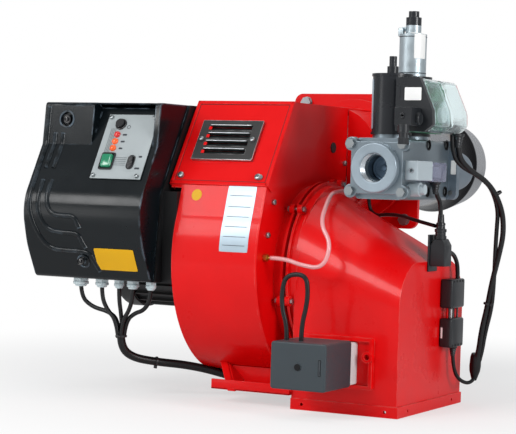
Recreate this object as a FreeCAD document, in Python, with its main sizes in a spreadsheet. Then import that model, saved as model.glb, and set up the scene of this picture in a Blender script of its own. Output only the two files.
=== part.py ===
import FreeCAD, Part
import Sketcher
import math
import os
from FreeCAD import Placement, Rotation, Vector

# Industrial gas burner with fan housing, air box, gas train and control panel.
# Millimetres. Origin: burner axis at the boiler face of the mounting flange.
# +Y is the firing direction, +X the gas-train side, +Z up.

doc = FreeCAD.newDocument("GasBurner")
sheet = doc.addObject("Spreadsheet::Sheet", "Sizes")

SIZES = [
    ("plate_wide", 250, "flange plate across"),
    ("plate_high", 240, "flange plate up"),
    ("plate_thick", 8, "flange plate thickness"),
    ("plate_corner", 16, "flange plate corner radius"),
    ("gasket_thick", 4, "boiler gasket"),
    ("gasket_margin", 8, "plate edge left bare round the gasket"),
    ("stud_margin_x", 25, "mounting bolt from the plate's side edge"),
    ("stud_margin_z", 16, "mounting bolt from the plate's upper edge"),
    ("stud_radius", 5, "mounting bolt thread"),
    ("stud_shank", 4.5, "mounting bolt shank through the plate"),
    ("stud_reach", 30, "bolt standing out of the gasket"),
    ("tube_radius", 84, "blast tube outside"),
    ("tube_wall", 2.5, "blast tube sheet"),
    ("tube_reach", 435, "blast tube end"),
    ("swell_radius", 95, "widest ring of the tube"),
    ("swell_reach", 354, "place of the widest ring"),
    ("swell_run", 64, "length of the flare before it"),
    ("mouth_radius", 83, "tube mouth"),
    ("fan_y", -236, "fan axis, fore and aft"),
    ("fan_z", -192, "fan axis height"),
    ("scroll_start", 150, "scroll radius at the rear"),
    ("scroll_growth", 28, "scroll radius gained each quarter"),
    ("case_left", -126, "left face of the scroll"),
    ("case_right", 31, "right face of the side panel"),
    ("case_wall", 4, "housing wall"),
    ("panel_sheet", 3, "side panel sheet"),
    ("duct_left", -146, "left face of the upper duct"),
    ("duct_top", 90, "top of the upper duct"),
    ("duct_rear", -25, "rear face of the upper duct"),
    ("duct_floor", -94, "floor of the upper duct at the rear"),
    ("wing_floor", -56, "underside of the duct's left wing"),
    ("cover_angle", 57.7, "slope of the front cover, degrees"),
    ("cover_run", 166.7, "length of the sloping front"),
    ("cover_head", -325, "top edge of the sloping front"),
    ("cover_sheet", 2, "front cover sheet"),
    ("cover_lip", 16, "folded rim of the front cover"),
    ("grille_wide", 112, "louvre grille across"),
    ("grille_high", 76, "louvre grille up the slope"),
    ("grille_thick", 6, "louvre grille depth"),
    ("louvre_pitch", 15.5, "louvre spacing"),
    ("neck_radius", 93, "outlet neck outside"),
    ("neck_ring", 110, "outlet neck ring"),
    ("neck_ring_thick", 10, "outlet neck ring thickness"),
    ("collar_radius", 146, "inlet collar outside"),
    ("collar_bore", 119, "inlet collar bore"),
    ("collar_end", 50, "face of the inlet collar"),
    ("seal_thick", 6, "seal between the collars"),
    ("lip_radius", 152, "collar lips"),
    ("lip_thick", 4, "collar lip thickness"),
    ("eye_radius", 88, "bellmouth throat"),
    ("wheel_radius", 125, "fan wheel outside"),
    ("wheel_inner", 98, "fan wheel blade root circle"),
    ("wheel_wide", 92, "fan wheel blade width"),
    ("wheel_left", -98, "fan wheel back plate"),
    ("blade_thick", 1.6, "fan blade sheet"),
    ("shaft_radius", 9.5, "motor shaft"),
    ("motor_radius", 70, "motor body"),
    ("fin_height", 5, "motor fin height"),
    ("motor_left", -296, "left end of the motor body"),
    ("motor_cap_left", -324, "left end of the motor fan cover"),
    ("motor_cap_radius", 78, "motor fan cover"),
    ("box_left", 69, "left wall of the air box"),
    ("box_right", 254, "right wall of the air box"),
    ("box_front", -380, "front wall of the air box"),
    ("box_deep", 269, "air box fore and aft"),
    ("box_floor", -408, "bottom edge of the air box"),
    ("box_top_left", -57, "air box top at its left"),
    ("box_top_right", -164, "air box top at its right"),
    ("box_round_left", 124, "air box shoulder radius at its left"),
    ("box_round_right", 72, "air box shoulder radius at its right"),
    ("box_wall", 4, "air box wall"),
    ("damper_x", 161.5, "damper axis across"),
    ("damper_z", -314, "damper axis height"),
    ("damper_thick", 3, "damper flap"),
    ("damper_rod", 5, "damper shaft radius"),
    ("damper_gap", 2, "damper flap clearance"),
    ("servo_left", 90, "servomotor left side"),
    ("servo_wide", 95, "servomotor across"),
    ("servo_low", -362, "servomotor underside"),
    ("servo_high", 74, "servomotor height"),
    ("servo_base", 26, "servomotor base depth"),
    ("servo_deep", 92, "servomotor cover depth"),
    ("frame_left", 82, "servomotor frame, left"),
    ("frame_right", 213, "servomotor frame, right"),
    ("frame_wall", 6, "servomotor frame rim"),
    ("frame_deep", 8, "servomotor frame depth"),
    ("foot_floor", -397, "underside of the foot"),
    ("foot_thick", 8, "foot plate"),
    ("foot_left", -76, "foot plate left"),
    ("foot_front", -387, "foot plate front"),
    ("foot_deep", 240, "foot plate fore and aft"),
    ("panel_left", -384, "control panel left"),
    ("panel_wide", 228, "control panel across"),
    ("panel_top", 82, "control panel top"),
    ("panel_low", -213, "control panel underside"),
    ("panel_brow", -446, "upright band of the panel cover"),
    ("band_low", 11, "lower edge of the upright band"),
    ("bulge_front", -500, "foremost point of the panel cover"),
    ("panel_back", -320, "back of the panel base"),
    ("panel_wall", 3, "panel cover wall"),
    ("panel_angle", 61.2, "slope of the control plate, degrees"),
    ("slope_run", 101.6, "length of the panel cover's slope"),
    ("control_left", -265, "control plate left"),
    ("control_wide", 97, "control plate across"),
    ("control_up", 58, "control plate above the band edge"),
    ("control_down", 64, "control plate below the band edge"),
    ("control_sheet", 1.5, "control plate sheet"),
    ("button_radius", 7.5, "reset button"),
    ("lamp_radius", 4.5, "indicator lamp"),
    ("gas_x", 222, "gas axis across"),
    ("gas_z", -15, "gas axis height"),
    ("gas_bore", 22.4, "gas inlet bore"),
    ("gas_passage", 20, "gas passage behind the inlet"),
    ("inlet_face", -426, "gas inlet face"),
    ("inlet_radius", 39, "gas inlet boss"),
    ("ear_thick", 12, "gas flange thickness"),
    ("gas_bolt_x", 44, "gas flange bolts, from the axis"),
    ("gas_bolt_z", 37, "gas flange bolts, above the axis"),
    ("block_front", -402, "valve block front"),
    ("block_deep", 188, "valve block fore and aft"),
    ("block_wide", 80, "valve block across"),
    ("block_high", 96, "valve block height"),
    ("coil_radius", 31, "coils"),
    ("coil_y", -361, "front coil axis"),
    ("coil_top", 134, "top of the coils"),
    ("rear_coil_y", -283, "rear coil axis"),
    ("brake_radius", 22, "hydraulic brake"),
    ("brake_top", 203, "hydraulic brake shoulder"),
    ("neck_top", 217, "hydraulic brake neck top"),
    ("cap_top", 230, "adjusting cap shoulder"),
    ("tip_top", 240, "adjusting cap tip"),
    ("cap_radius", 12.5, "adjusting cap"),
    ("stack_left", 256, "pressure switch stack, inner side"),
    ("stack_front", -404, "pressure switch stack, front"),
    ("stack_plate", 10, "pressure switch end piece"),
    ("hood_long", 72, "pressure switch hood fore and aft"),
    ("stack_low", 43, "pressure switch stack underside"),
    ("stack_high", 84, "pressure switch stack height"),
    ("hood_wall", 2, "hood wall"),
    ("elbow_radius", 34, "gas elbow outside"),
    ("elbow_bend", 36, "gas elbow centre-line radius"),
    ("elbow_y", -62, "gas elbow cross run"),
    ("pipe_radius", 17, "inner gas pipe"),
    ("disc_radius", 72, "flame disc"),
    ("disc_y", 372, "flame disc place"),
    ("slack", 0.3, "gap between pieces that move past each other"),
]

for row, (alias, size, note) in enumerate(SIZES, 1):
    sheet.set(f"A{row}", note)
    sheet.set(f"B{row}", str(size))
    sheet.setAlias(f"B{row}", alias)
doc.recompute()


class Size:
    """A length that carries its value and the sheet formula that gives it."""

    def __init__(self, value, text):
        self.value = value
        self.text = text

    def __add__(self, other):
        other = sized(other)
        return Size(self.value + other.value, f"({self.text} + {other.text})")

    def __sub__(self, other):
        other = sized(other)
        return Size(self.value - other.value, f"({self.text} - {other.text})")

    def __mul__(self, other):
        other = sized(other)
        return Size(self.value * other.value, f"({self.text} * {other.text})")

    def __truediv__(self, other):
        other = sized(other)
        return Size(self.value / other.value, f"({self.text} / {other.text})")

    def __radd__(self, other):
        return sized(other) + self

    def __rsub__(self, other):
        return sized(other) - self

    def __rmul__(self, other):
        return sized(other) * self

    def __neg__(self):
        return Size(-self.value, f"(0 - {self.text})")

    def __float__(self):
        return float(self.value)


def sized(number):
    """A Size from a Size or a plain number."""
    if isinstance(number, Size):
        return number
    return Size(number, f"({number})")


def cosine(angle):
    """Cosine of a sheet angle in degrees."""
    return Size(math.cos(math.radians(angle.value)), f"cos({angle.text} * 1 deg)")


def sine(angle):
    """Sine of a sheet angle in degrees."""
    return Size(math.sin(math.radians(angle.value)), f"sin({angle.text} * 1 deg)")


class Sheet:
    """The driving dimensions, each one a Size."""


s = Sheet()
for alias, size, note in SIZES:
    setattr(s, alias, Size(float(getattr(sheet, alias)), f"Sizes.{alias}"))

NODES = []


def node(name, item):
    """Gives a finished piece its name and puts it on the list that is written out."""
    item.Label = name
    NODES.append(item)
    return item


def bind(item, prop, size):
    """Sets a property from a Size and ties it to the sheet."""
    size = sized(size)
    item.setExpression(prop, size.text)


TURNS = {"X": (Vector(0, 1, 0), 90), "Y": (Vector(1, 0, 0), -90), "Z": (Vector(0, 0, 1), 0)}


def place(item, at, axis="Z"):
    """Puts a primitive at a point, with its own Z along a world axis."""
    around, turn = TURNS[axis]
    x, y, z = (sized(v) for v in at)
    item.Placement = Placement(Vector(x.value, y.value, z.value), Rotation(around, turn))
    bind(item, "Placement.Base.x", x)
    bind(item, "Placement.Base.y", y)
    bind(item, "Placement.Base.z", z)
    return item


def box(at, length, width, height):
    item = doc.addObject("Part::Box", "Box")
    bind(item, "Length", length)
    bind(item, "Width", width)
    bind(item, "Height", height)
    return place(item, at)


def cylinder(at, radius, height, axis="Z"):
    item = doc.addObject("Part::Cylinder", "Cylinder")
    bind(item, "Radius", radius)
    bind(item, "Height", height)
    return place(item, at, axis)


def cone(at, first, last, height, axis="Z"):
    item = doc.addObject("Part::Cone", "Cone")
    bind(item, "Radius1", first)
    bind(item, "Radius2", last)
    bind(item, "Height", height)
    return place(item, at, axis)


def hexagon(at, radius, height, axis="Z"):
    """A hexagonal prism by its corner radius."""
    item = doc.addObject("Part::Prism", "Hexagon")
    item.Polygon = 6
    bind(item, "Circumradius", radius)
    bind(item, "Height", height)
    return place(item, at, axis)


def fuse(*items):
    item = doc.addObject("Part::MultiFuse", "Fusion")
    item.Shapes = list(items)
    item.Refine = True
    return item


def cut(base, *tools):
    item = doc.addObject("Part::Cut", "Cut")
    item.Base = base
    item.Tool = tools[0] if len(tools) == 1 else fuse(*tools)
    item.Refine = True
    return item


def group(*items):
    """Separate solids in one node, such as a set of screws."""
    item = doc.addObject("Part::Compound", "Group")
    item.Links = list(items)
    return item


def shaped(shape):
    """A piece whose shape is made here, from the sheet's values."""
    item = doc.addObject("Part::Feature", "Shape")
    item.Shape = shape
    return item


PLANES = {"XY": ("XY_Plane", 1), "XZ": ("XZ_Plane", -1), "YZ": ("YZ_Plane", 1)}


def new_body(name):
    return doc.addObject("PartDesign::Body", name + "_body")


def new_sketch(body, plane, start):
    """A sketch on one of the body's own origin planes, moved along its axis to start."""
    role, sign = PLANES[plane]
    item = body.newObject("Sketcher::SketchObject", "Sketch")
    face = [f for f in body.Origin.OriginFeatures if f.Role == role][0]
    item.AttachmentSupport = (face, [""])
    item.MapMode = "FlatFace"
    start = sized(start) * sign
    item.AttachmentOffset = Placement(Vector(0, 0, start.value), Rotation())
    bind(item, "AttachmentOffset.Base.z", start)
    return item


def pin_point(item, geometry, corner, across, up):
    """Fixes a sketch point at two sizes."""
    across, up = sized(across), sized(up)
    for kind, size in (("DistanceX", across), ("DistanceY", up)):
        index = item.addConstraint(Sketcher.Constraint(kind, geometry, corner, size.value))
        item.setExpression(f"Constraints[{index}]", size.text)


def outline(item, points):
    """A closed outline of straight lines in a sketch, every corner tied to the sheet."""
    corners = [Vector(float(sized(a)), float(sized(b)), 0) for a, b in points]
    first = item.GeometryCount
    count = len(corners)
    for i, corner in enumerate(corners):
        item.addGeometry(Part.LineSegment(corner, corners[(i + 1) % count]), False)
    for i in range(count):
        after = first + (i + 1) % count
        item.addConstraint(Sketcher.Constraint("Coincident", first + i, 2, after, 1))
    for i, (across, up) in enumerate(points):
        pin_point(item, first + i, 1, across, up)


def ring_line(item, across, up, radius):
    """A circle in a sketch, tied to the sheet."""
    across, up, radius = sized(across), sized(up), sized(radius)
    circle = Part.Circle(Vector(across.value, up.value, 0), Vector(0, 0, 1), radius.value)
    index = item.addGeometry(circle, False)
    pin_point(item, index, 3, across, up)
    bound = item.addConstraint(Sketcher.Constraint("Radius", index, radius.value))
    item.setExpression(f"Constraints[{bound}]", radius.text)


def pad(body, item, plane, length):
    """Material from the sketch towards the plus end of its axis."""
    feature = body.newObject("PartDesign::Pad", "Pad")
    feature.Profile = item
    feature.Reversed = plane == "XZ"
    bind(feature, "Length", length)
    item.Visibility = False
    doc.recompute()
    return feature


def pocket(body, item, plane, length):
    """A cut from the sketch towards the plus end of its axis, which has to remove material."""
    before = body.Shape.Volume
    feature = body.newObject("PartDesign::Pocket", "Pocket")
    feature.Profile = item
    feature.Reversed = plane != "XZ"
    bind(feature, "Length", length)
    doc.recompute()
    if body.Shape.Volume > before - 1:
        raise RuntimeError(f"a pocket of {body.Label} cuts nothing")
    return feature


def pad_outline(body, plane, points, start, length):
    item = new_sketch(body, plane, start)
    outline(item, points)
    return pad(body, item, plane, length)


def pocket_outline(body, plane, points, start, length):
    item = new_sketch(body, plane, start)
    outline(item, points)
    return pocket(body, item, plane, length)


def pad_circles(body, plane, circles, start, length):
    item = new_sketch(body, plane, start)
    for circle in circles:
        ring_line(item, *circle)
    return pad(body, item, plane, length)


def pocket_circles(body, plane, circles, start, length):
    item = new_sketch(body, plane, start)
    for circle in circles:
        ring_line(item, *circle)
    return pocket(body, item, plane, length)


def runs_along(edge, axis):
    """True for a straight edge parallel to an axis."""
    if not isinstance(edge.Curve, (Part.Line, Part.LineSegment)):
        return False
    tangent = edge.tangentAt(edge.FirstParameter)
    return abs(getattr(tangent, axis.lower())) > 0.999


def round_edges(body, radius, pick, kind="Fillet"):
    """Rounds or chamfers the picked edges of a body."""
    base = body.Tip
    names = [f"Edge{i}" for i, edge in enumerate(base.Shape.Edges, 1) if pick(edge)]
    if not names:
        raise RuntimeError(f"no edge of {body.Label} is picked")
    feature = body.newObject("PartDesign::" + kind, kind)
    feature.Base = (base, names)
    bind(feature, "Radius" if kind == "Fillet" else "Size", radius)
    doc.recompute()
    return feature


def rectangle(left, low, wide, high):
    return [(left, low), (left + wide, low), (left + wide, low + high), (left, low + high)]


class Slope:
    """A sloping seat: local x across, u up the slope, w out of it."""

    def __init__(self, y, z, angle):
        self.y, self.z, self.angle = sized(y), sized(z), angle

    def point(self, x, u, w):
        u, w = sized(u), sized(w)
        y = self.y + u * cosine(self.angle) - w * sine(self.angle)
        z = self.z + u * sine(self.angle) + w * cosine(self.angle)
        return sized(x), y, z

    def put(self, item, x, u, w, extra=0):
        """Turns a primitive onto the slope, with extra degrees about the cross axis."""
        place(item, self.point(x, u, w))
        turn = self.angle + extra
        item.Placement = Placement(item.Placement.Base, Rotation(Vector(1, 0, 0), turn.value))
        bind(item, "Placement.Rotation.Angle", turn)
        return item


cover_slope = Slope(
    s.cover_head - s.cover_run * cosine(s.cover_angle),
    s.duct_top - s.cover_run * sine(s.cover_angle),
    s.cover_angle,
)
panel_slope = Slope(s.panel_brow - 2, s.band_low, s.panel_angle)
rear_face = -(s.plate_thick + s.gasket_thick)


def spiral_point(quarters, inset):
    """A point of the scroll, counted in quarter turns from the rear, over the bottom."""
    radius = s.scroll_start.value + s.scroll_growth.value * quarters - inset
    angle = -quarters * math.pi / 2
    return Vector(
        0,
        s.fan_y.value + radius * math.cos(angle),
        s.fan_z.value + radius * math.sin(angle),
    )


TONGUE = -0.33
SCROLL_END = 2.28


def case_outline(inset):
    """The side outline of scroll and duct, moved in by a wall."""
    angle = math.radians(s.cover_angle.value)
    up = Vector(0, math.cos(angle), math.sin(angle))
    inward = Vector(0, math.sin(angle), -math.cos(angle))
    low = Vector(0, cover_slope.y.value, cover_slope.z.value) + inward * inset
    top = s.duct_top.value - inset
    head = low + up * ((top - low.z) / up.z)
    rear = s.duct_rear.value - inset
    spiral = Part.BSplineCurve()
    steps = 9
    span = SCROLL_END - TONGUE
    spiral.interpolate([spiral_point(TONGUE + span * i / steps, inset) for i in range(steps + 1)])
    corners = [
        spiral_point(SCROLL_END, inset),
        low,
        head,
        Vector(0, rear, top),
        Vector(0, rear, s.duct_floor.value + inset),
        spiral_point(TONGUE, inset),
    ]
    lines = [Part.LineSegment(a, b).toShape() for a, b in zip(corners, corners[1:])]
    return Part.Face(Part.Wire([spiral.toShape()] + lines))


def wing_outline(inset):
    """The side outline of the upper duct above its wing floor."""
    angle = math.radians(s.cover_angle.value)
    up = Vector(0, math.cos(angle), math.sin(angle))
    inward = Vector(0, math.sin(angle), -math.cos(angle))
    low = Vector(0, cover_slope.y.value, cover_slope.z.value) + inward * inset
    top = s.duct_top.value - inset
    head = low + up * ((top - low.z) / up.z)
    floor = s.wing_floor.value + inset
    rear = s.duct_rear.value - inset
    corners = [low, head, Vector(0, rear, top), Vector(0, rear, floor), Vector(0, low.y, floor)]
    return Part.Face(Part.makePolygon(corners + [low]))


def extruded(face, start, length):
    """A face in the YZ plane drawn out along X."""
    profile = shaped(face)
    item = doc.addObject("Part::Extrusion", "Extrusion")
    item.Base = profile
    item.DirMode = "Custom"
    item.Dir = Vector(1, 0, 0)
    item.Solid = True
    bind(item, "LengthFwd", length)
    start = sized(start)
    item.Placement = Placement(Vector(start.value, 0, 0), Rotation())
    bind(item, "Placement.Base.x", start)
    return item


def scroll_solid():
    """The scroll's outer form, without its wing."""
    return extruded(case_outline(0), s.case_left, s.case_right - s.panel_sheet - s.case_left)


def fan_housing():
    right = s.case_right - s.panel_sheet
    outer = fuse(
        scroll_solid(),
        extruded(wing_outline(0), s.duct_left, right - s.duct_left),
        cylinder((0, s.duct_rear - 90, 0), s.neck_radius, 90, "Y"),
        cylinder((0, s.duct_rear, 0), s.neck_ring, s.neck_ring_thick, "Y"),
    )
    inner = fuse(
        extruded(case_outline(s.case_wall.value), s.case_left + s.case_wall, right - s.case_left),
        extruded(
            wing_outline(s.case_wall.value), s.duct_left + s.case_wall, right - s.duct_left
        ),
        cylinder(
            (0, s.duct_rear - 90 + s.case_wall, 0), s.neck_radius - s.case_wall, 120, "Y"
        ),
        cylinder((s.case_left - 1, s.fan_y, s.fan_z), s.shaft_radius + 12, 12, "X"),
        cylinder((0, s.elbow_y, s.gas_z), s.elbow_radius - 6, 140, "X"),
    )
    window = cover_slope.put(
        box((0, 0, 0), s.grille_wide - 24, s.grille_high - 16, 30),
        grille_left() + 12, grille_low() + 8, -20,
    )
    shell = cut(outer, inner, window)
    return node("fan_housing", shell)


def grille_left():
    return s.duct_left + 25


def grille_low():
    return s.cover_run * 0.28


def front_cover():
    over = s.cover_sheet + 1
    left = s.duct_left - over
    wide = s.case_right - s.duct_left + 2 * over
    low = 0
    sheet_plate = cover_slope.put(
        box((0, 0, 0), wide, s.cover_run, s.cover_sheet), left, low, s.slack
    )
    lips = [
        cover_slope.put(
            box((0, 0, 0), s.cover_sheet, s.cover_run, s.cover_lip),
            side, low, s.slack - s.cover_lip,
        )
        for side in (left, left + wide - s.cover_sheet)
    ]
    window = cover_slope.put(
        box((0, 0, 0), s.grille_wide - 16, s.grille_high - 10, 30),
        grille_left() + 8, grille_low() + 5, -10,
    )
    return node("front_cover", cut(fuse(sheet_plate, *lips), window))


def louvre_grille():
    seat = s.slack + s.cover_sheet
    plate = cover_slope.put(
        box((0, 0, 0), s.grille_wide, s.grille_high, s.grille_thick),
        grille_left(), grille_low(), seat,
    )
    slots = []
    blades = []
    count = 4
    slot_wide = s.grille_wide - 32
    for i in range(count):
        up = grille_low() + s.grille_high / 2 + (i - (count - 1) / 2) * s.louvre_pitch
        slots.append(cover_slope.put(
            box((0, 0, 0), slot_wide, s.louvre_pitch * 0.62, 20),
            grille_left() + 16, up - s.louvre_pitch * 0.31, seat - 5,
        ))
        blades.append(cover_slope.put(
            box((0, 0, 0), slot_wide + 1, s.louvre_pitch * 0.62, 1.2),
            grille_left() + 15.5, up - s.louvre_pitch * 0.3, seat + 1.5, extra=-28,
        ))
    return node("louvre_grille", fuse(cut(plate, *slots), *blades))


def side_panel():
    left = s.case_right - s.panel_sheet
    sheet_plate = extruded(case_outline(0), left, s.panel_sheet)
    collar = cylinder((left, s.fan_y, s.fan_z), s.collar_radius, s.collar_end - left, "X")
    lip = cylinder(
        (s.collar_end - s.lip_thick, s.fan_y, s.fan_z), s.lip_radius, s.lip_thick, "X"
    )
    ears = [
        cylinder((s.collar_end - 2 * s.lip_thick,) + ear_place(i), 8, 2 * s.lip_thick, "X")
        for i in range(EARS)
    ]
    bore = cylinder((left - 1, s.fan_y, s.fan_z), s.collar_bore, 60, "X")
    throat = cone(
        (left - 18, s.fan_y, s.fan_z), s.eye_radius + 3, s.collar_bore + 3, 18 + s.panel_sheet, "X"
    )
    throat_bore = cone(
        (left - 19, s.fan_y, s.fan_z), s.eye_radius - 0.5, s.collar_bore, 20 + s.panel_sheet, "X"
    )
    plate = cut(fuse(sheet_plate, collar, lip, *ears), bore)
    neck = cylinder((0, s.duct_rear - 90, 0), s.neck_radius + s.slack, 90, "Y")
    sight = cylinder((left - 5, -172, 19), 7, 20, "X")
    screws = [
        cylinder((left - 1,) + spot, 2, 10, "X") for spot in panel_screw_spots()
    ]
    holes = [
        cylinder((left - 5,) + ear_place(i), 2.6, 60, "X") for i in range(EARS)
    ]
    body = fuse(cut(plate, neck, sight, *screws, *holes), cut(throat, throat_bore))
    return node("side_panel", body)


EARS = 6


def ear_place(i):
    """Centre of one clamp ear of the two collars."""
    angle = math.radians(136 + i * 360 / EARS)
    reach = s.lip_radius + 1
    return (s.fan_y + reach * math.cos(angle), s.fan_z + reach * math.sin(angle))


def panel_screw_spots():
    return [(-391, -75), (-409, -128), (-126, -7)]


def rubber_seals():
    ring = cylinder((s.collar_end, s.fan_y, s.fan_z), s.collar_radius - 6, s.seal_thick, "X")
    bore = cylinder((s.collar_end - 1, s.fan_y, s.fan_z), s.collar_bore, s.seal_thick + 2, "X")
    left = s.case_right - s.panel_sheet
    stem = cylinder((left - 3, -172, 19), 7, s.panel_sheet + 3, "X")
    head = cylinder((s.case_right, -172, 19), 9, 2, "X")
    return node("rubber_seals", group(cut(ring, bore), fuse(stem, head)))


def flange_plate():
    body = new_body("flange_plate")
    points = rectangle(-s.plate_wide / 2, -s.plate_high / 2, s.plate_wide, s.plate_high)
    pad_outline(body, "XZ", points, rear_face, s.plate_thick)
    round_edges(body, s.plate_corner, lambda e: runs_along(e, "Y"))
    pocket_circles(body, "XZ", [(0, 0, s.tube_radius + s.slack)], rear_face, s.plate_thick)
    holes = [(x, z, s.stud_radius + 0.5) for x, z in stud_places()]
    pocket_circles(body, "XZ", holes, rear_face, s.plate_thick)
    return node("flange_plate", body)


def stud_places():
    across = s.plate_wide / 2 - s.stud_margin_x
    up = s.plate_high / 2 - s.stud_margin_z
    return [(i * across, k * up) for i in (-1, 1) for k in (-1, 1)]


def flange_gasket():
    body = new_body("flange_gasket")
    wide = s.plate_wide - 2 * s.gasket_margin
    high = s.plate_high - 2 * s.gasket_margin
    pad_outline(body, "XZ", rectangle(-wide / 2, -high / 2, wide, high), -s.gasket_thick,
                s.gasket_thick)
    round_edges(body, s.plate_corner, lambda e: runs_along(e, "Y"))
    pocket_circles(body, "XZ", [(0, 0, s.tube_radius + 2)], -s.gasket_thick, s.gasket_thick)
    holes = [(x, z, s.stud_radius + 0.5) for x, z in stud_places()]
    pocket_circles(body, "XZ", holes, -s.gasket_thick, s.gasket_thick)
    return node("flange_gasket", body)


def mounting_bolts():
    washer_thick = 2
    head_thick = 6.5
    bolts = []
    for x, z in stud_places():
        start = rear_face - washer_thick
        shank = cylinder((x, start, z), s.stud_shank, -start + 1, "Y")
        thread = cylinder((x, 0, z), s.stud_radius, s.stud_reach, "Y")
        washer = cylinder((x, start, z), 10.5, washer_thick, "Y")
        head = hexagon((x, start - head_thick, z), 9.8, head_thick, "Y")
        bolts.append(fuse(shank, thread, washer, head))
    return node("mounting_bolts", group(*bolts))


def tube_profile(inset):
    """The blast tube's outside or inside line in the XY plane, x the radius."""
    straight = s.swell_reach.value - s.swell_run.value
    start = rear_face.value - 3 if inset == 0 else rear_face.value - 4
    radius = s.tube_radius.value - inset
    swell = s.swell_radius.value - inset
    mouth = s.mouth_radius.value - inset
    reach = s.tube_reach.value + (1 if inset else 0)
    flare = Part.BezierCurve()
    flare.setPoles([
        Vector(radius, straight, 0),
        Vector(radius, straight + s.swell_run.value * 0.55, 0),
        Vector(swell, s.swell_reach.value, 0),
    ])
    corners = [Vector(0, start, 0), Vector(radius, start, 0), Vector(radius, straight, 0)]
    after = [Vector(swell, s.swell_reach.value, 0), Vector(mouth, reach, 0), Vector(0, reach, 0)]
    edges = [Part.LineSegment(a, b).toShape() for a, b in zip(corners, corners[1:])]
    edges.append(flare.toShape())
    edges += [Part.LineSegment(a, b).toShape() for a, b in zip(after, after[1:])]
    edges.append(Part.LineSegment(after[-1], corners[0]).toShape())
    return Part.Face(Part.Wire(edges)).revolve(Vector(0, 0, 0), Vector(0, 1, 0), 360)


def blast_tube():
    tube = tube_profile(0).cut(tube_profile(s.tube_wall.value))
    rim = Part.makeCylinder(
        s.neck_ring.value - 6, 3, Vector(0, rear_face.value - 3, 0), Vector(0, 1, 0)
    )
    hole = Part.makeCylinder(
        s.tube_radius.value - s.tube_wall.value, 5, Vector(0, rear_face.value - 4, 0),
        Vector(0, 1, 0),
    )
    return node("blast_tube", shaped(tube.fuse(rim.cut(hole)).removeSplitter()))


def rounded_wire(points, radii):
    """A path of straight runs joined by tangent arcs."""
    edges = []
    last = points[0]
    for i in range(1, len(points) - 1):
        here = points[i]
        before = (points[i - 1] - here).normalize()
        after = (points[i + 1] - here).normalize()
        half = (math.pi - before.getAngle(after)) / 2
        radius = radii[i - 1]
        back = radius * math.tan(half)
        start = here + before * back
        end = here + after * back
        middle_line = (before + after).normalize()
        centre = here + middle_line * (radius / math.cos(half))
        middle = centre - middle_line * radius
        edges.append(Part.LineSegment(last, start).toShape())
        edges.append(Part.Arc(start, middle, end).toShape())
        last = end
    edges.append(Part.LineSegment(last, points[-1]).toShape())
    return Part.Wire(edges)


def pipe_along(wire, radius, points):
    """A round solid swept along a path."""
    direction = (points[1] - points[0]).normalize()
    circle = Part.Circle(points[0], direction, radius)
    solid = wire.makePipeShell([Part.Wire(circle.toShape())], True, True)
    wanted = math.pi * radius ** 2 * wire.Length
    if abs(solid.Volume - wanted) > wanted * 0.01:
        raise RuntimeError("a swept tube has the wrong volume")
    return solid


def gas_head_pipe():
    y = s.elbow_y.value
    z = s.gas_z.value
    x = s.neck_radius.value
    nose = s.disc_y.value
    points = [Vector(x + 2, y, z), Vector(0, y, z), Vector(0, 60, 0), Vector(0, nose - 4, 0)]
    wire = rounded_wire(points, [30, 120])
    outer = pipe_along(wire, s.pipe_radius.value, points)
    boss = Part.makeCylinder(
        s.elbow_radius.value - 7, 12, Vector(x - 8, y, z), Vector(1, 0, 0)
    )
    nozzle = Part.makeCylinder(27, 34, Vector(0, nose - 34, 0), Vector(0, 1, 0))
    ports = []
    for i in range(6):
        angle = math.radians(60 * i + 30)
        outward = Vector(math.cos(angle), 0, math.sin(angle))
        ports.append(Part.makeCylinder(7, 44, Vector(0, nose - 21, 0), outward))
    solid = outer.fuse([boss, nozzle] + ports)
    for i in range(6):
        angle = math.radians(60 * i + 30)
        outward = Vector(math.cos(angle), 0, math.sin(angle))
        hole = Part.makeCylinder(4.5, 16, Vector(0, nose - 21, 0) + outward * 32, outward)
        solid = solid.cut(hole)
    room = Part.makeCylinder(
        s.neck_radius.value - s.slack.value, 600, Vector(0, -150, 0), Vector(0, 1, 0)
    )
    return node("gas_head_pipe", shaped(solid.common(room).removeSplitter()))


PROBES = ((-18, -31, 14), (18, -31, 14), (18, 31, 34))


def flame_disc():
    body = new_body("flame_disc")
    pad_circles(body, "XZ", [(0, 0, s.disc_radius)], s.disc_y, 2)
    pocket_circles(body, "XZ", [(0, 0, 11)], s.disc_y, 2)
    slot = pocket_outline(
        body, "XZ",
        [(s.disc_radius * 0.4, -2), (s.disc_radius * 0.86, -4), (s.disc_radius * 0.86, 4),
         (s.disc_radius * 0.4, 2)],
        s.disc_y, 2,
    )
    pattern = body.newObject("PartDesign::PolarPattern", "Slots")
    pattern.Originals = [slot]
    axis = [f for f in body.Origin.OriginFeatures if f.Role == "Y_Axis"][0]
    pattern.Axis = (axis, [""])
    pattern.Angle = 360
    pattern.Occurrences = 16
    body.Tip = pattern
    doc.recompute()
    probes = [(x, z, 6) for x, z, ahead in PROBES]
    pocket_circles(body, "XZ", probes, s.disc_y, 2)
    return node("flame_disc", body)


def electrodes():
    rods = []
    near = s.disc_y - 55
    for x, z, ahead in PROBES:
        ceramic = cylinder((x, near, z), 5.5, 62, "Y")
        wire = cylinder((x, near - 12, z), 1.5, 74 + ahead, "Y")
        rods.append(fuse(ceramic, wire))
    return node("electrodes", group(*rods))


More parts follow.
